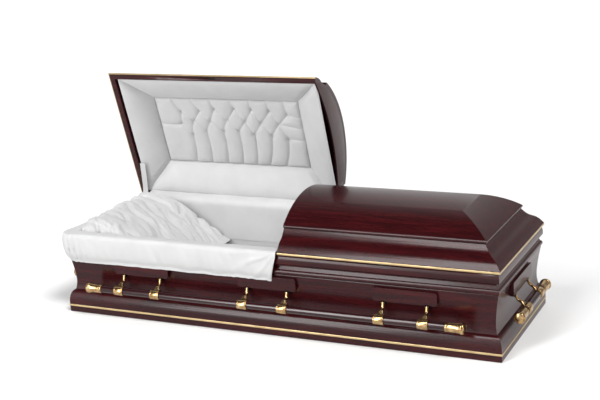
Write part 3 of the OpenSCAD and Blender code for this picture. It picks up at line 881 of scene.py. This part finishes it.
def addArm(bm, side, middle, facts):
    angle = math.atan2(facts["armOut"], facts["armDrop"])
    reach = math.hypot(facts["armOut"], facts["armDrop"])

    def toWorld(across, out, down):  # out is away from the case, down is along the arm
        inset = facts["pivotIn"] - down * math.sin(angle) - out * math.cos(angle)
        height = facts["pivotHigh"] - down * math.cos(angle) + out * math.sin(angle)
        return place(side, middle + across, inset, height)

    eye, wide = facts["eyeRadius"], facts["armWide"] / 2
    hole = facts["pinHole"]
    barrel = [(hole, -wide), (eye - 1, -wide), (eye - 0.3, -wide + 0.3), (eye, -wide + 1), (eye, wide - 1),
              (eye - 0.3, wide - 0.3), (eye - 1, wide), (hole, wide), (hole, -wide)]
    turned(bm, barrel, lambda a, b, along: toWorld(along, a, b), 40)
    ring, half = facts["ringRadius"], facts["ringWide"] / 2
    bore = facts["barRadius"]
    collar = [(bore, -half), (ring - 0.8, -half), (ring - 0.2, -half + 0.4),
              (ring, -half + 1.2), (ring, -half + 3),
              (ring - 1, -half + 3.8), (ring - 1.1, -half + 4.8), (ring - 0.2, -half + 5.8),
              (ring, -half + 7), (ring, half - 7), (ring - 0.2, half - 5.8), (ring - 1.1, half - 4.8),
              (ring - 1, half - 3.8), (ring, half - 3), (ring, half - 1.2), (ring - 0.2, half - 0.4),
              (ring - 0.8, half), (bore, half), (bore, -half)]
    turned(bm, collar, lambda a, b, along: toWorld(along, a, reach + b), 56)
    rings = []
    count = 30
    first, last = eye * 0.7, reach - ring * 0.35
    for i in range(count + 1):
        t = i / count
        down = first + (last - first) * t
        outward = 4.5 * math.sin(math.pi * min(1.0, t / 0.5)) * -1 + 11 * max(0.0, t - 0.35) ** 1.3
        narrow = wide + 1.3 * min(1, t / 0.15) ** 0.5
        flare = max(0.0, (t - 0.3) / 0.7)
        width = narrow + (half - 5 - narrow) * flare**1.15
        depth = facts["armThick"] / 2 * (1.25 + 0.45 * min(1, flare * 3) - 0.7 * flare)
        loop = []
        for k in range(24):
            a = 2 * math.pi * k / 24
            c, s = math.cos(a), math.sin(a)
            loop.append(bm.verts.new(toWorld(
                width * math.copysign(abs(c) ** 0.6, c),
                outward + depth * math.copysign(abs(s) ** 0.6, s), down)))
        rings.append(loop)
    for a, b in zip(rings, rings[1:]):
        for k in range(24):
            n = (k + 1) % 24
            bm.faces.new((a[k], a[n], b[n], b[k]))
    bm.faces.new(rings[0])
    bm.faces.new(rings[-1])


def makeArms(side, facts):
    places = armPlaces(side, facts)
    for k, middle in enumerate(places):
        if side in ("front", "back"):
            bm = bmesh.new()
            addArm(bm, side, middle, facts)
            node = f"{side}_arm_{k + 1}"
            stand(finishMesh(bm, node + "_cast", brass, 38, 0.001), side + "_handle", "brass", node)
    if side in ("head", "foot"):
        bm = bmesh.new()
        for middle in places:
            addArm(bm, side, middle, facts)
        stand(finishMesh(bm, side + "_arms_cast", brass, 38, 0.001), side + "_handle", "brass", side + "_arms")


for side in ("front", "back", "head", "foot"):
    makeBar(side, handleFacts)
    makeArms(side, handleFacts)
stand(softCopy("handle_lugs", 0.5, darkSteel, 2, 50), "case", "brass", "handle_lugs")
print("handles made")

# --- CAD pieces that stay ---
for node, material in (
    ("lock_plate", darkSteel), ("head_catch_plate", darkSteel), ("foot_catch_plate", darkSteel),
    ("head_hinge_case_leaf", darkSteel), ("foot_hinge_case_leaf", darkSteel),
    ("head_hinge_lid_leaf", darkSteel), ("foot_hinge_lid_leaf", darkSteel), ("floor_board", plainWood),
):
    frame["nodes"][node].data.materials.clear()
    frame["nodes"][node].data.materials.append(material)

# --- cloth helpers ---
def clothNoise(across, along, sizeAcross, sizeAlong, seed):
    flat = [noise.noise(Vector((a / sizeAcross, b / sizeAlong, seed)))
            for a, b in zip(across.ravel(), along.ravel())]
    return np.array(flat).reshape(across.shape)


def ridge(values, wide=0.3):  # 0 along narrow valleys, 1 on the soft swells between them
    return np.minimum(1, np.abs(values) / wide) ** 0.65


def sideways(points, wrap=False):  # unit normals of a grid of points
    if wrap:
        points = np.concatenate([points[-2:-1], points, points[1:2]], axis=0)
    along = np.gradient(points, axis=0)
    across = np.gradient(points, axis=1)
    made = np.cross(along, across)
    made = made / np.maximum(np.linalg.norm(made, axis=2, keepdims=True), 1e-9)
    return made[1:-1] if wrap else made


def addSkin(bm, front, back=None):  # two matching grids joined round their edges, or one flat-backed
    rows, columns = front.shape[:2]
    grids = [front] if back is None else [front, back]
    made = []
    for grid in grids:
        verts = [[bm.verts.new(Vector(p) * mm) for p in row] for row in grid]
        made.append(verts)
        for i in range(rows - 1):
            for j in range(columns - 1):
                bm.faces.new((verts[i][j], verts[i + 1][j], verts[i + 1][j + 1], verts[i][j + 1]))
    loop = [(i, 0) for i in range(rows)] + [(rows - 1, j) for j in range(1, columns)]
    loop += [(i, columns - 1) for i in range(rows - 2, -1, -1)] + [(0, j) for j in range(columns - 2, 0, -1)]
    if back is None:
        return made, [made[0][i][j] for i, j in loop]
    for a, b in zip(loop, loop[1:] + loop[:1]):
        bm.faces.new((made[0][a[0]][a[1]], made[0][b[0]][b[1]], made[1][b[0]][b[1]], made[1][a[0]][a[1]]))
    return made, []


# --- the cloth over the rim ---
drapeFacts = {"right": 61, "hemRight": 29, "hemHigh": 256, "headEnd": 326, "cornerIn": 45, "thick": 1.6,
              "step": 5.5, "sway": 5, "gather": 11, "fan": 6, "bulge": 12, "seed": 4.2,
              "section": [(58, 379), (53, 390), (45, 395), (22, 396), (9, 394), (1.5, 389), (-2.6, 378),
                          (-4, 362), (-4.2, 340), (-3.2, 315), (-0.5, 292), (5, 275), (11, 262), (15, 257)]}


def makeDrape(facts):
    section = smoothLine(facts["section"], 46)
    middle = facts["cornerIn"]
    straight = facts["right"] + halfLength - middle
    turn = math.pi / 2 * (middle + 2)
    side = facts["headEnd"] + halfWidth - middle
    count = int((straight + turn + side) / facts["step"])
    distances = np.linspace(0, straight + turn + side, count)
    grid = np.zeros((count, len(section), 3))
    for i, s in enumerate(distances):
        for j, point in enumerate(section):
            inset, height = point
            if s <= straight:
                share = s / straight
                slant = min(1.0, max(0.0, (368 - height) / (368 - facts["hemHigh"])))
                edge = facts["right"] + (facts["hemRight"] - facts["right"]) * slant
                corner = -halfLength + max(inset, middle)
                x, y = edge + (corner - edge) * share, -halfWidth + inset
            elif s <= straight + turn:
                a = (s - straight) / turn * math.pi / 2
                if inset > middle:
                    x, y = -halfLength + inset, -halfWidth + inset
                else:
                    x = -halfLength + middle - (middle - inset) * math.sin(a)
                    y = -halfWidth + middle - (middle - inset) * math.cos(a)
            else:
                share = (s - straight - turn) / side
                start = -halfWidth + max(inset, middle)
                x, y = -halfLength + inset, start + (facts["headEnd"] - start) * share
                crest = 378 + min(18, max(3.5, (356.8 - y) * 0.0244 + 1))
                height = min(height, crest) if height > 378 else height
            grid[i, j] = (x, y, height)
    normals = sideways(grid)
    down = np.linspace(0, 1, len(section))[None, :] * np.ones((count, 1))
    run = distances[:, None] * np.ones((1, len(section)))
    fall = np.clip((down - 0.3) / 0.2, 0, 1)
    wave = facts["sway"] * clothNoise(run, down, 95, 1.6, facts["seed"])
    wave += 2 * clothNoise(run + 90 * down, down, 30, 0.8, facts["seed"] + 3) * fall
    nearCorner = np.exp(-(((run - straight - turn * 0.4) / 95) ** 2))
    wave += facts["gather"] * nearCorner * (ridge(np.sin(run / 9 + 2.4 * down), 0.8) - 0.7) * (0.3 + 0.7 * fall)
    fullest = np.sin(math.pi * np.clip(down * 1.05, 0, 1)) ** 0.8
    bulge = np.exp(-(((run - straight - turn * 0.7) / 100) ** 2)) * fullest
    wave += facts["bulge"] * bulge
    x, z = grid[:, :, 0], grid[:, :, 2]
    away = np.hypot(facts["right"] + 12 - x, 398 - z + 6)
    angle = np.arctan2(398 - z + 6, facts["right"] + 12 - x)
    onFront = run < straight
    spread = np.exp(-((away / 210) ** 2)) * np.clip(away / 45, 0, 1) * onFront
    fanFolds = np.sin(angle * 17 + clothNoise(run, down, 80, 1, 9) * 1.2)
    wave += facts["fan"] * spread * (0.5 * fanFolds + 0.3 * np.abs(fanFolds)) * fall
    nearHem = np.clip((310 - z) / 55, 0, 1) * onFront * np.exp(-(((x + 60) / 120) ** 2))
    wave += 5 * nearHem * clothNoise(run, down, 12, 2.5, 12.5)
    wave -= np.minimum(wave.min(axis=1, keepdims=True), 0) * 0.15
    outward = grid + normals * (wave[:, :, None] + 0.2)
    if float(normals[5, 25, 1]) > 0:
        outward = grid - normals * (wave[:, :, None] + 0.2)
        normals = -normals
    outward[:, :, 1] = np.where(onFront & (z < 370), np.minimum(outward[:, :, 1], -350.3), outward[:, :, 1])
    closedLid = 379.2 + (356.8 - outward[:, :, 1]) * 0.0244
    outward[:, :, 2] = np.where(z > 365, np.minimum(outward[:, :, 2], closedLid - 0.8), outward[:, :, 2])
    bm = bmesh.new()
    under = outward - normals * facts["thick"]
    under[:, :, 2] = np.where(z > 365, np.minimum(under[:, :, 2], closedLid - 1.2), under[:, :, 2])
    addSkin(bm, outward, under)
    made = finishMesh(bm, "ledge_drape_cloth", satin, 70)
    stand(made, "case", "satin", "ledge_drape")


makeDrape(drapeFacts)


# --- side lining, bed and pillow ---
liningFacts = {"inset": 55.5, "low": 109, "high": 377.5, "thick": 1.5, "corner": 22, "step": 9, "wave": 1.7,
               "seed": 2.7}


def makeSideLining(facts):
    path = []
    r = facts["corner"]
    cx, cy = halfLength - facts["inset"] - r, halfWidth - facts["inset"] - r
    for sx, sy, start in ((-1, -1, 180), (1, -1, 270), (1, 1, 0), (-1, 1, 90)):
        path += [Vector(p) for p in arcPoints((sx * cx, sy * cy), r, r, start, start + 90, 8)]
    total = 4 * (cx + cy) + 2 * math.pi * r
    path = evenPoints(path + [path[0]], int(total / facts["step"]))
    heights = np.linspace(facts["low"], facts["high"], 30)
    grid = np.array([[(p.x, p.y, z) for z in heights] for p in path])
    run = np.linspace(0, total, len(path))[:, None] * np.ones((1, 30))
    up = heights[None, :] * np.ones((len(path), 1))
    wave = facts["wave"] * clothNoise(run, up, 42, 420, facts["seed"])
    wave += 0.6 * clothNoise(run, up, 13, 160, facts["seed"] + 2) * np.clip((up - 300) / 70, 0, 1)
    wave[-1] = wave[0]
    normals = sideways(grid, True)
    inward = np.sign(-(normals[:, :, 0] * grid[:, :, 0] / cx + normals[:, :, 1] * grid[:, :, 1] / cy))
    normals = normals * inward[:, :, None]
    front = grid + normals * (wave[:, :, None] + 1.4)
    bm = bmesh.new()
    addSkin(bm, front, front - normals * facts["thick"])
    made = finishMesh(bm, "side_lining_cloth", satin, 60, 0.05)
    stand(made, "case", "satin", "side_lining")


makeSideLining(liningFacts)

bedFacts = {"inset": 61, "low": 18.6, "high": 197, "crown": 2.5, "seed": 6.1}


def makeBed(facts):
    halfX, halfY = halfLength - facts["inset"], halfWidth - facts["inset"]
    across = np.linspace(-1, 1, 46)
    along = np.linspace(-1, 1, 120)
    u, v = np.meshgrid(np.sin(along * math.pi / 2), np.sin(across * math.pi / 2), indexing="ij")
    edge = (1 - np.abs(u) ** 40) * (1 - np.abs(v) ** 16)
    x, y = u * halfX, v * halfY
    middle = (facts["low"] + facts["high"]) / 2
    half = (facts["high"] - facts["low"]) / 2 - facts["crown"]
    swell = half * np.clip(edge, 0, 1) ** 0.32
    wave = facts["crown"] * np.clip(edge, 0, 1) * (0.4 + 0.6 * clothNoise(x, y, 150, 90, facts["seed"]))
    top = np.stack([x, y, middle + swell + wave], axis=2)
    under = np.stack([x, y, middle - swell], axis=2)
    bm = bmesh.new()
    addSkin(bm, top, under)
    made = finishMesh(bm, "mattress_cover", satin, 60, 0.3)
    stand(made, "case", "satin", "mattress")


makeBed(bedFacts)

pillowFacts = {"low": 201.2, "halfWide": 299, "seed": 7.7, "pressed": 0.77,
               "wrinkle": 15, "crumple": 8, "gather": 8,
               "profile": [(-1006, 203), (-1014, 300), (-1015, 385), (-1005, 428), (-970, 445), (-925, 447),
                           (-870, 438), (-784, 401), (-708, 353), (-622, 292), (-571, 248), (-538, 216),
                           (-522, 203)]}


def makePillow(facts):
    line = smoothLine(facts["profile"], 150)
    across = np.linspace(-1, 1, 140)
    v = np.sin(across * math.pi / 2) * 0.6 + across * 0.4
    full = (1 - np.abs(v) ** 12) ** 0.28
    grid = np.zeros((len(line), len(v), 3))
    centre = -760
    for i, point in enumerate(line):
        px, pz = point
        grid[i, :, 0] = centre + (px - centre) * (0.955 + 0.045 * full)
        grid[i, :, 1] = v * facts["halfWide"]
        grid[i, :, 2] = facts["low"] + (pz - facts["low"]) * (0.1 + 0.9 * full)
    normals = sideways(grid)
    if float(normals[75, 70, 2]) < 0:
        normals = -normals
    y = grid[:, :, 1]
    steps = np.array([0] + [(b - a).length for a, b in zip(line, line[1:])]).cumsum()
    down = steps[:, None] * np.ones((1, len(v)))
    bend = 34 * clothNoise(down, y, 170, 170, facts["seed"] + 5)
    lean = y + bend + 0.28 * (down - 300)
    long = ridge(clothNoise(down, lean, 230, 62, facts["seed"]))
    fine = ridge(clothNoise(down + lean * 0.3, lean, 90, 27, facts["seed"] + 1))
    tiny = clothNoise(down, lean, 26, 12, facts["seed"] + 2)
    share = 0.5 + 0.5 * clothNoise(down, y, 130, 130, facts["seed"] + 8)
    wave = facts["wrinkle"] * long + facts["crumple"] * fine * share + 1.5 * tiny * share
    nearFront = np.exp(-(((y + facts["halfWide"]) / 62) ** 2))
    nearFoot = np.exp(-(((steps[-1] - down) / 90) ** 2))
    gathers = ridge(clothNoise(down + 0.5 * y, y, 17, 120, 3.3))
    wave += facts["gather"] * nearFront * gathers + 5 * nearFoot * clothNoise(y, down, 20, 120, 4.4)
    wave -= wave.mean() + 4
    calm = np.clip(np.minimum(down / 25, (steps[-1] - down) / 120), 0, 1)
    calm = calm * np.clip((1 - np.abs(v))[None, :] * 40, 0, 1)
    grid = grid + normals * (wave * calm)[:, :, None]
    grid[:, :, 2] = np.clip(grid[:, :, 2], facts["low"], 452)
    grid[:, :, 0] = np.clip(grid[:, :, 0], -1016, -482)
    under = grid.copy()
    under[:, :, 2] = facts["low"] - 0.6
    bm = bmesh.new()
    addSkin(bm, grid, under)
    made = finishMesh(bm, "pillow_cover", satin, 75, 0.05)
    stand(made, "case", "satin", "pillow")
    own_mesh(made)


makePillow(pillowFacts)
print("bed made")

# --- padding inside the open lid ---
rollFacts = {"cut": 80.5, "cutOut": 8.5, "headIn": 13, "puff": 15, "step": 8, "seed": 1.4, "wave": 1.6,
             "face": [(33.9, 6), (38, 7), (61.9, 20), (103.9, 46), (150, 72), (173.9, 86)],
             "back": [(174.5, 97), (150, 92), (103.9, 66), (61.9, 40), (34.4, 22)]}


def makeRoll(facts):
    base = facts["cut"]
    face = smoothLine(facts["face"], 34)
    back = smoothLine(facts["back"], 12)
    high = lidFacts["underside"]
    corners = [(-1, -1), (1, -1), (1, 1), (-1, 1)]

    def cornerAt(index, inset):
        sx, sy = corners[index % 4]
        outer = (174 - inset) / 140
        x = base - inset + facts["cutOut"] * outer if sx > 0 else -halfLength + inset + facts["headIn"] * outer
        return Vector((x, sy * (halfWidth - inset)))

    rows = []
    for index in range(4):
        long = (cornerAt(index + 1, 100) - cornerAt(index, 100)).length
        count = int(long / facts["step"])
        for k in range(count):
            t = k / count
            t = 0.5 - 0.5 * math.cos(math.pi * t) if count < 20 else t
            near = min(t, 1 - t) * long
            pull = min(1, near / 34) ** 0.5
            row = []
            for j, (inset, up) in enumerate(list(face) + list(back)):
                spot = cornerAt(index, inset).lerp(cornerAt(index + 1, inset), t)
                share = j / (len(face) - 1)
                puff = facts["puff"] * math.sin(math.pi * min(1, share)) ** 0.7 * pull if share <= 1 else 0
                wave = noise.noise(Vector((index * 9 + t * long / 160, inset / 90, facts["seed"]))) * facts["wave"]
                lift = (puff + wave * (1 if 0 < share < 1 else 0)) * (0.55 + 0.45 * pull)
                inward = cornerAt(index, inset + 1).lerp(cornerAt(index + 1, inset + 1), t) - spot
                inward = inward.normalized() * 0.45 * lift
                row.append((spot.x + inward.x, spot.y + inward.y, high + up - lift * 0.9))
            rows.append(row)
    grid = np.array(rows)
    bm = bmesh.new()
    verts = [[bm.verts.new(Vector(p) * mm) for p in row] for row in grid]
    for i in range(len(verts)):
        for j in range(len(verts[0])):
            a, b = (i + 1) % len(verts), (j + 1) % len(verts[0])
            bm.faces.new((verts[i][j], verts[a][j], verts[a][b], verts[i][b]))
    made = finishMesh(bm, "lining_roll_cover", satin, 50, 0.05)
    openUp(made)
    stand(made, "head_lid", "satin", "lining_roll")


makeRoll(rollFacts)

def makeStrip(name, line, run, thick, wave, seed, lean=0):  # case to lid
    rows = np.linspace(0, 1, max(8, int((run[1] - run[0]).length / 9)))
    points = smoothLine(line, 30)
    grid = np.array([[list(run[0].lerp(run[1], t) + Vector((0, p[0], p[1]))) for p in points] for t in rows])
    wide = grid[:, :, 0].copy()
    grid[:, :, 0] += np.linspace(0, lean, len(points))[None, :]
    normals = sideways(grid)
    if float(normals[:, :, 1].mean()) > 0:
        normals = -normals
    folds = wave * clothNoise(wide, grid[:, :, 2], 55, 90, seed)
    face = grid + normals * folds[:, :, None]
    bm = bmesh.new()
    addSkin(bm, face, face - normals * thick)
    made = finishMesh(bm, name, satin, 75, 0.05)
    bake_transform(made)
    return made


apronFacts = {"left": -1000, "right": 44,
             "line": [(297.6, 206), (297.6, 300), (297.8, 372), (301, 392), (310, 406), (327, 415), (347, 421)],
              "bend": [(300, 376), (345, 419)], "wave": 1.5}
stayFacts = {"line": [(322, 386), (324, 430), (308, 500), (291, 576)], "left": -1043, "right": -1014,
             "lean": 22, "wave": 3}
makeStrip("hinge_apron", apronFacts["line"],
          [Vector((apronFacts["left"], 0, 0)), Vector((apronFacts["right"], 0, 0))],
          1.4, apronFacts["wave"], 3.1)
makeStrip("lid_stay", stayFacts["line"],
          [Vector((stayFacts["left"], 0, 0)), Vector((stayFacts["right"], 0, 0))],
          2.2, stayFacts["wave"], 5.1,
          stayFacts["lean"])

tuftFacts = {"low": 468, "back": 478, "left": -892, "right": -94.5, "halfWide": 182, "step": 2.9, "puff": 18,
             "sink": 9, "crease": 12, "knot": 4, "seed": 11,
             "rows": [[(-754, -103), (-649, -109), (-562, -122), (-450, -127), (-355, -125), (-259, -120),
                       (-166, -104)],
                      [(-766, -36), (-695, -52), (-601, -53), (-504, -64), (-403, -60), (-314, -56), (-219, -54)],
                      [(-718, 21), (-635, 2), (-537, -2), (-449, -6), (-366, 10), (-271, 11), (-184, 27)]],
             "topPleats": [-797, -687, -579, -468, -362, -266, -176],
             "endPleats": [-734, -642, -552, -468, -388, -316, -225]}


def pleatLines(facts):  # (start, end, depth, bow) of every fold between tufts
    first, second, third = facts["rows"]
    made = []
    for x, tuft in zip(facts["topPleats"], first):
        made.append(((x, -facts["halfWide"]), tuft, 0.75, 0))
    for x, tuft in zip(facts["endPleats"], third):
        made.append((tuft, (x, facts["halfWide"]), 0.95, 9))
    for i in range(7):
        made.append((first[i], second[i], 0.7, 0))
        made.append((second[i], third[i], 0.7, 0))
        if i < 6:
            made.append((first[i], second[i + 1], 0.6, 0))
            made.append((third[i], second[i + 1], 0.6, 0))
    made.append((second[0], (facts["left"], -40), 0.7, 6))
    for tuft, y in ((first[6], -92), (second[6], -30), (third[6], 34)):
        made.append((tuft, (facts["right"], y), 0.55, 4))
    return made


def makeTuftedPanel(facts):
    wide = int((facts["right"] - facts["left"]) / facts["step"])
    deep = int(2 * facts["halfWide"] / facts["step"])
    x, y = np.meshgrid(np.linspace(facts["left"], facts["right"], wide),
                       np.linspace(-facts["halfWide"], facts["halfWide"], deep), indexing="ij")
    puff = np.ones_like(x)
    for start, end, depth, bow in pleatLines(facts):
        a, b = np.array(start), np.array(end)
        along = b - a
        length = np.hypot(*along)
        t = np.clip(((x - a[0]) * along[0] + (y - a[1]) * along[1]) / length**2, 0, 1)
        off = (bow * np.sin(math.pi * t)) / length
        away = np.hypot(x - a[0] - along[0] * t - along[1] * off, y - a[1] - along[1] * t + along[0] * off)
        fade = depth * (1 - 0.25 * np.sin(math.pi * t))
        puff = np.minimum(puff, 1 - fade * np.exp(-((away / facts["crease"]) ** 0.9)))
    sink = np.zeros_like(x)
    for row in facts["rows"]:
        for tx, ty in row:
            sink = np.maximum(sink, np.exp(-((np.hypot(x - tx, y - ty) / 12) ** 1.3)))
    edge = np.minimum(np.minimum(x - facts["left"], facts["right"] - x), facts["halfWide"] - np.abs(y))
    puff = puff * (1 - 0.85 * np.exp(-edge / 9))
    wave = 1.2 * clothNoise(x, y, 40, 55, facts["seed"]) + 0.6 * clothNoise(x, y, 14, 30, facts["seed"] + 1)
    height = facts["low"] + 4.5 - facts["puff"] * puff - wave * puff + facts["sink"] * sink
    face = np.stack([x, y, height], axis=2)
    bm = bmesh.new()
    loop = addSkin(bm, face)[1]
    rim = [bm.verts.new((v.co.x, v.co.y, facts["back"] * mm)) for v in loop]
    for i in range(len(loop)):
        n = (i + 1) % len(loop)
        bm.faces.new((loop[i], loop[n], rim[n], rim[i]))
    bm.faces.new(rim)
    return finishMesh(bm, "cap_panel_cover", satin, 75, 0.05)


def makeKnots(facts, panel):  # the thread knot that pulls each tuft down
    points = bpy.data.meshes.new("tuft_points")
    tufts = [Vector((tx, ty, facts["low"] + 8.5)) * mm for row in facts["rows"] for tx, ty in row]
    points.from_pydata(tufts, [], [])
    holder = bpy.data.objects.new("tuft_knots", points)
    bpy.context.scene.collection.objects.link(holder)
    group = bpy.data.node_groups.new("tuftKnots", "GeometryNodeTree")
    sockets = {}
    for title, kind, way in (
        ("Points", "NodeSocketGeometry", "INPUT"), ("Knot Size", "NodeSocketFloat", "INPUT"),
        ("Seed", "NodeSocketInt", "INPUT"), ("Cloth", "NodeSocketMaterial", "INPUT"),
        ("Knots", "NodeSocketGeometry", "OUTPUT"),
    ):
        sockets[title] = group.interface.new_socket(title, in_out=way, socket_type=kind)
    inputs = addNode(group, "NodeGroupInput").outputs
    turnBy = addNode(group, "FunctionNodeRandomValue", {"data_type": "FLOAT_VECTOR"},
                     {"Seed": inputs["Seed"], 0: (-0.3, -0.3, 0), 1: (0.3, 0.3, 6.28)})
    ball = addNode(group, "GeometryNodeMeshIcoSphere", {}, {"Radius": inputs["Knot Size"], "Subdivisions": 2})
    flatten = {"Geometry": ball.outputs["Mesh"], "Scale": (1.3, 0.8, 0.5)}
    flat = addNode(group, "GeometryNodeTransform", {}, flatten)
    spread = addNode(group, "GeometryNodeInstanceOnPoints", {},
                     {"Points": inputs["Points"], "Instance": flat.outputs["Geometry"],
                      "Rotation": turnBy.outputs["Value"]})
    real = addNode(group, "GeometryNodeRealizeInstances", {}, {"Geometry": spread.outputs["Instances"]})
    painted = addNode(group, "GeometryNodeSetMaterial", {},
                      {"Geometry": real.outputs["Geometry"], "Material": inputs["Cloth"]})
    addNode(group, "NodeGroupOutput", {}, {"Knots": painted.outputs["Geometry"]})
    scatter = holder.modifiers.new("knots", "NODES")
    scatter.node_group = group
    scatter[sockets["Knot Size"].identifier] = facts["knot"] * mm
    scatter[sockets["Seed"].identifier] = facts["seed"]
    scatter[sockets["Cloth"].identifier] = satin
    applyModifiers(holder)
    bm = bmesh.new()
    bm.from_mesh(panel.data)
    bm.from_mesh(holder.data)
    for face in bm.faces:
        face.smooth = True
    bm.to_mesh(panel.data)
    bm.free()
    bpy.data.objects.remove(holder)


tufted = makeTuftedPanel(tuftFacts)
makeKnots(tuftFacts, tufted)
openUp(tufted)
stand(tufted, "head_lid", "satin", "cap_panel")
print("lid padding made")

# --- floor and light ---
floorMesh = bmesh.new()
bmesh.ops.create_grid(floorMesh, x_segments=1, y_segments=1, size=40)
floorMaterial, floorTree, floorWhere = startMaterial("studio_floor")
floorCloud = addNoise(floorTree, floorWhere, (900, 900, 900), 2)
floorShader = addNode(
    floorTree,
    "ShaderNodeBsdfPrincipled",
    {},
    {"Base Color": addRamp(floorTree, floorCloud, [(0.2, "#f2f2f2"), (0.8, "#f6f6f6")]), "Roughness": 0.9,
     "Specular IOR Level": 0.1},
)
finishMaterial(floorMaterial, floorTree, floorShader.outputs["BSDF"])
floor = finishMesh(floorMesh, "studio_floor", floorMaterial)
floor.location.z = -0.0005

lightFacts = {"tallSoftbox": {"turn": -26, "low": 2, "high": 54, "lamps": 6, "strength": 0.4, "spread": 11},
              "key": {"turn": 60, "low": 52, "high": 52, "lamps": 1, "strength": 2.4, "spread": 20}}
for name, facts in lightFacts.items():  # each a stack of broad lamps, turned to the right of the front
    for k in range(facts["lamps"]):
        tilt = math.radians(facts["low"] + (facts["high"] - facts["low"]) * k / max(1, facts["lamps"] - 1))
        turn = math.radians(facts["turn"])
        light = bpy.data.lights.new(name, "SUN")
        light.energy = facts["strength"]
        light.angle = math.radians(facts["spread"])
        lamp = bpy.data.objects.new(name, light)
        toward = Vector((math.sin(turn) * math.cos(tilt), -math.cos(turn) * math.cos(tilt), math.sin(tilt)))
        lamp.rotation_euler = (-toward).to_track_quat("-Z", "Y").to_euler()
        bpy.context.scene.collection.objects.link(lamp)

skyFacts = {"frontLow": 0.75, "frontHigh": 0.08, "back": 0.95, "right": 0.36}
world = bpy.data.worlds.new("studio")
bpy.context.scene.world = world
world.use_nodes = True
skyTree = world.node_tree
skyTree.nodes.clear()
skyWhere = addNode(skyTree, "ShaderNodeTexCoord").outputs["Generated"]
skySplit = addNode(skyTree, "ShaderNodeSeparateXYZ", {}, {"Vector": skyWhere})
skyBack = addNode(
    skyTree,
    "ShaderNodeMapRange",
    {"interpolation_type": "SMOOTHSTEP"},
    {"Value": skySplit.outputs["Y"], "From Min": 0.2, "From Max": 0.75},
)
skyFront = addNode(
    skyTree,
    "ShaderNodeMapRange",
    {"interpolation_type": "SMOOTHSTEP"},
    {"Value": skySplit.outputs["Z"], "From Min": 0.2, "From Max": 0.75,
     "To Min": skyFacts["frontLow"], "To Max": skyFacts["frontHigh"]},
)
skySide = addNode(
    skyTree,
    "ShaderNodeMapRange",
    {"interpolation_type": "SMOOTHSTEP"},
    {"Value": skySplit.outputs["X"], "From Min": -0.3, "From Max": 0.3,
     "To Min": skyFacts["back"], "To Max": skyFacts["right"]},
)
skyShare = addNode(
    skyTree,
    "ShaderNodeMapRange",
    {},
    {"Value": skyBack.outputs["Result"], "To Min": skyFront.outputs["Result"],
     "To Max": skySide.outputs["Result"]},
)
skyShader = addNode(
    skyTree, "ShaderNodeBackground", {}, {"Color": (1, 1, 1, 1), "Strength": skyShare.outputs["Result"]}
)
addNode(skyTree, "ShaderNodeOutputWorld", {}, {"Surface": skyShader.outputs["Background"]})
bpy.context.scene.view_settings.view_transform = "Standard"
print("stage set")
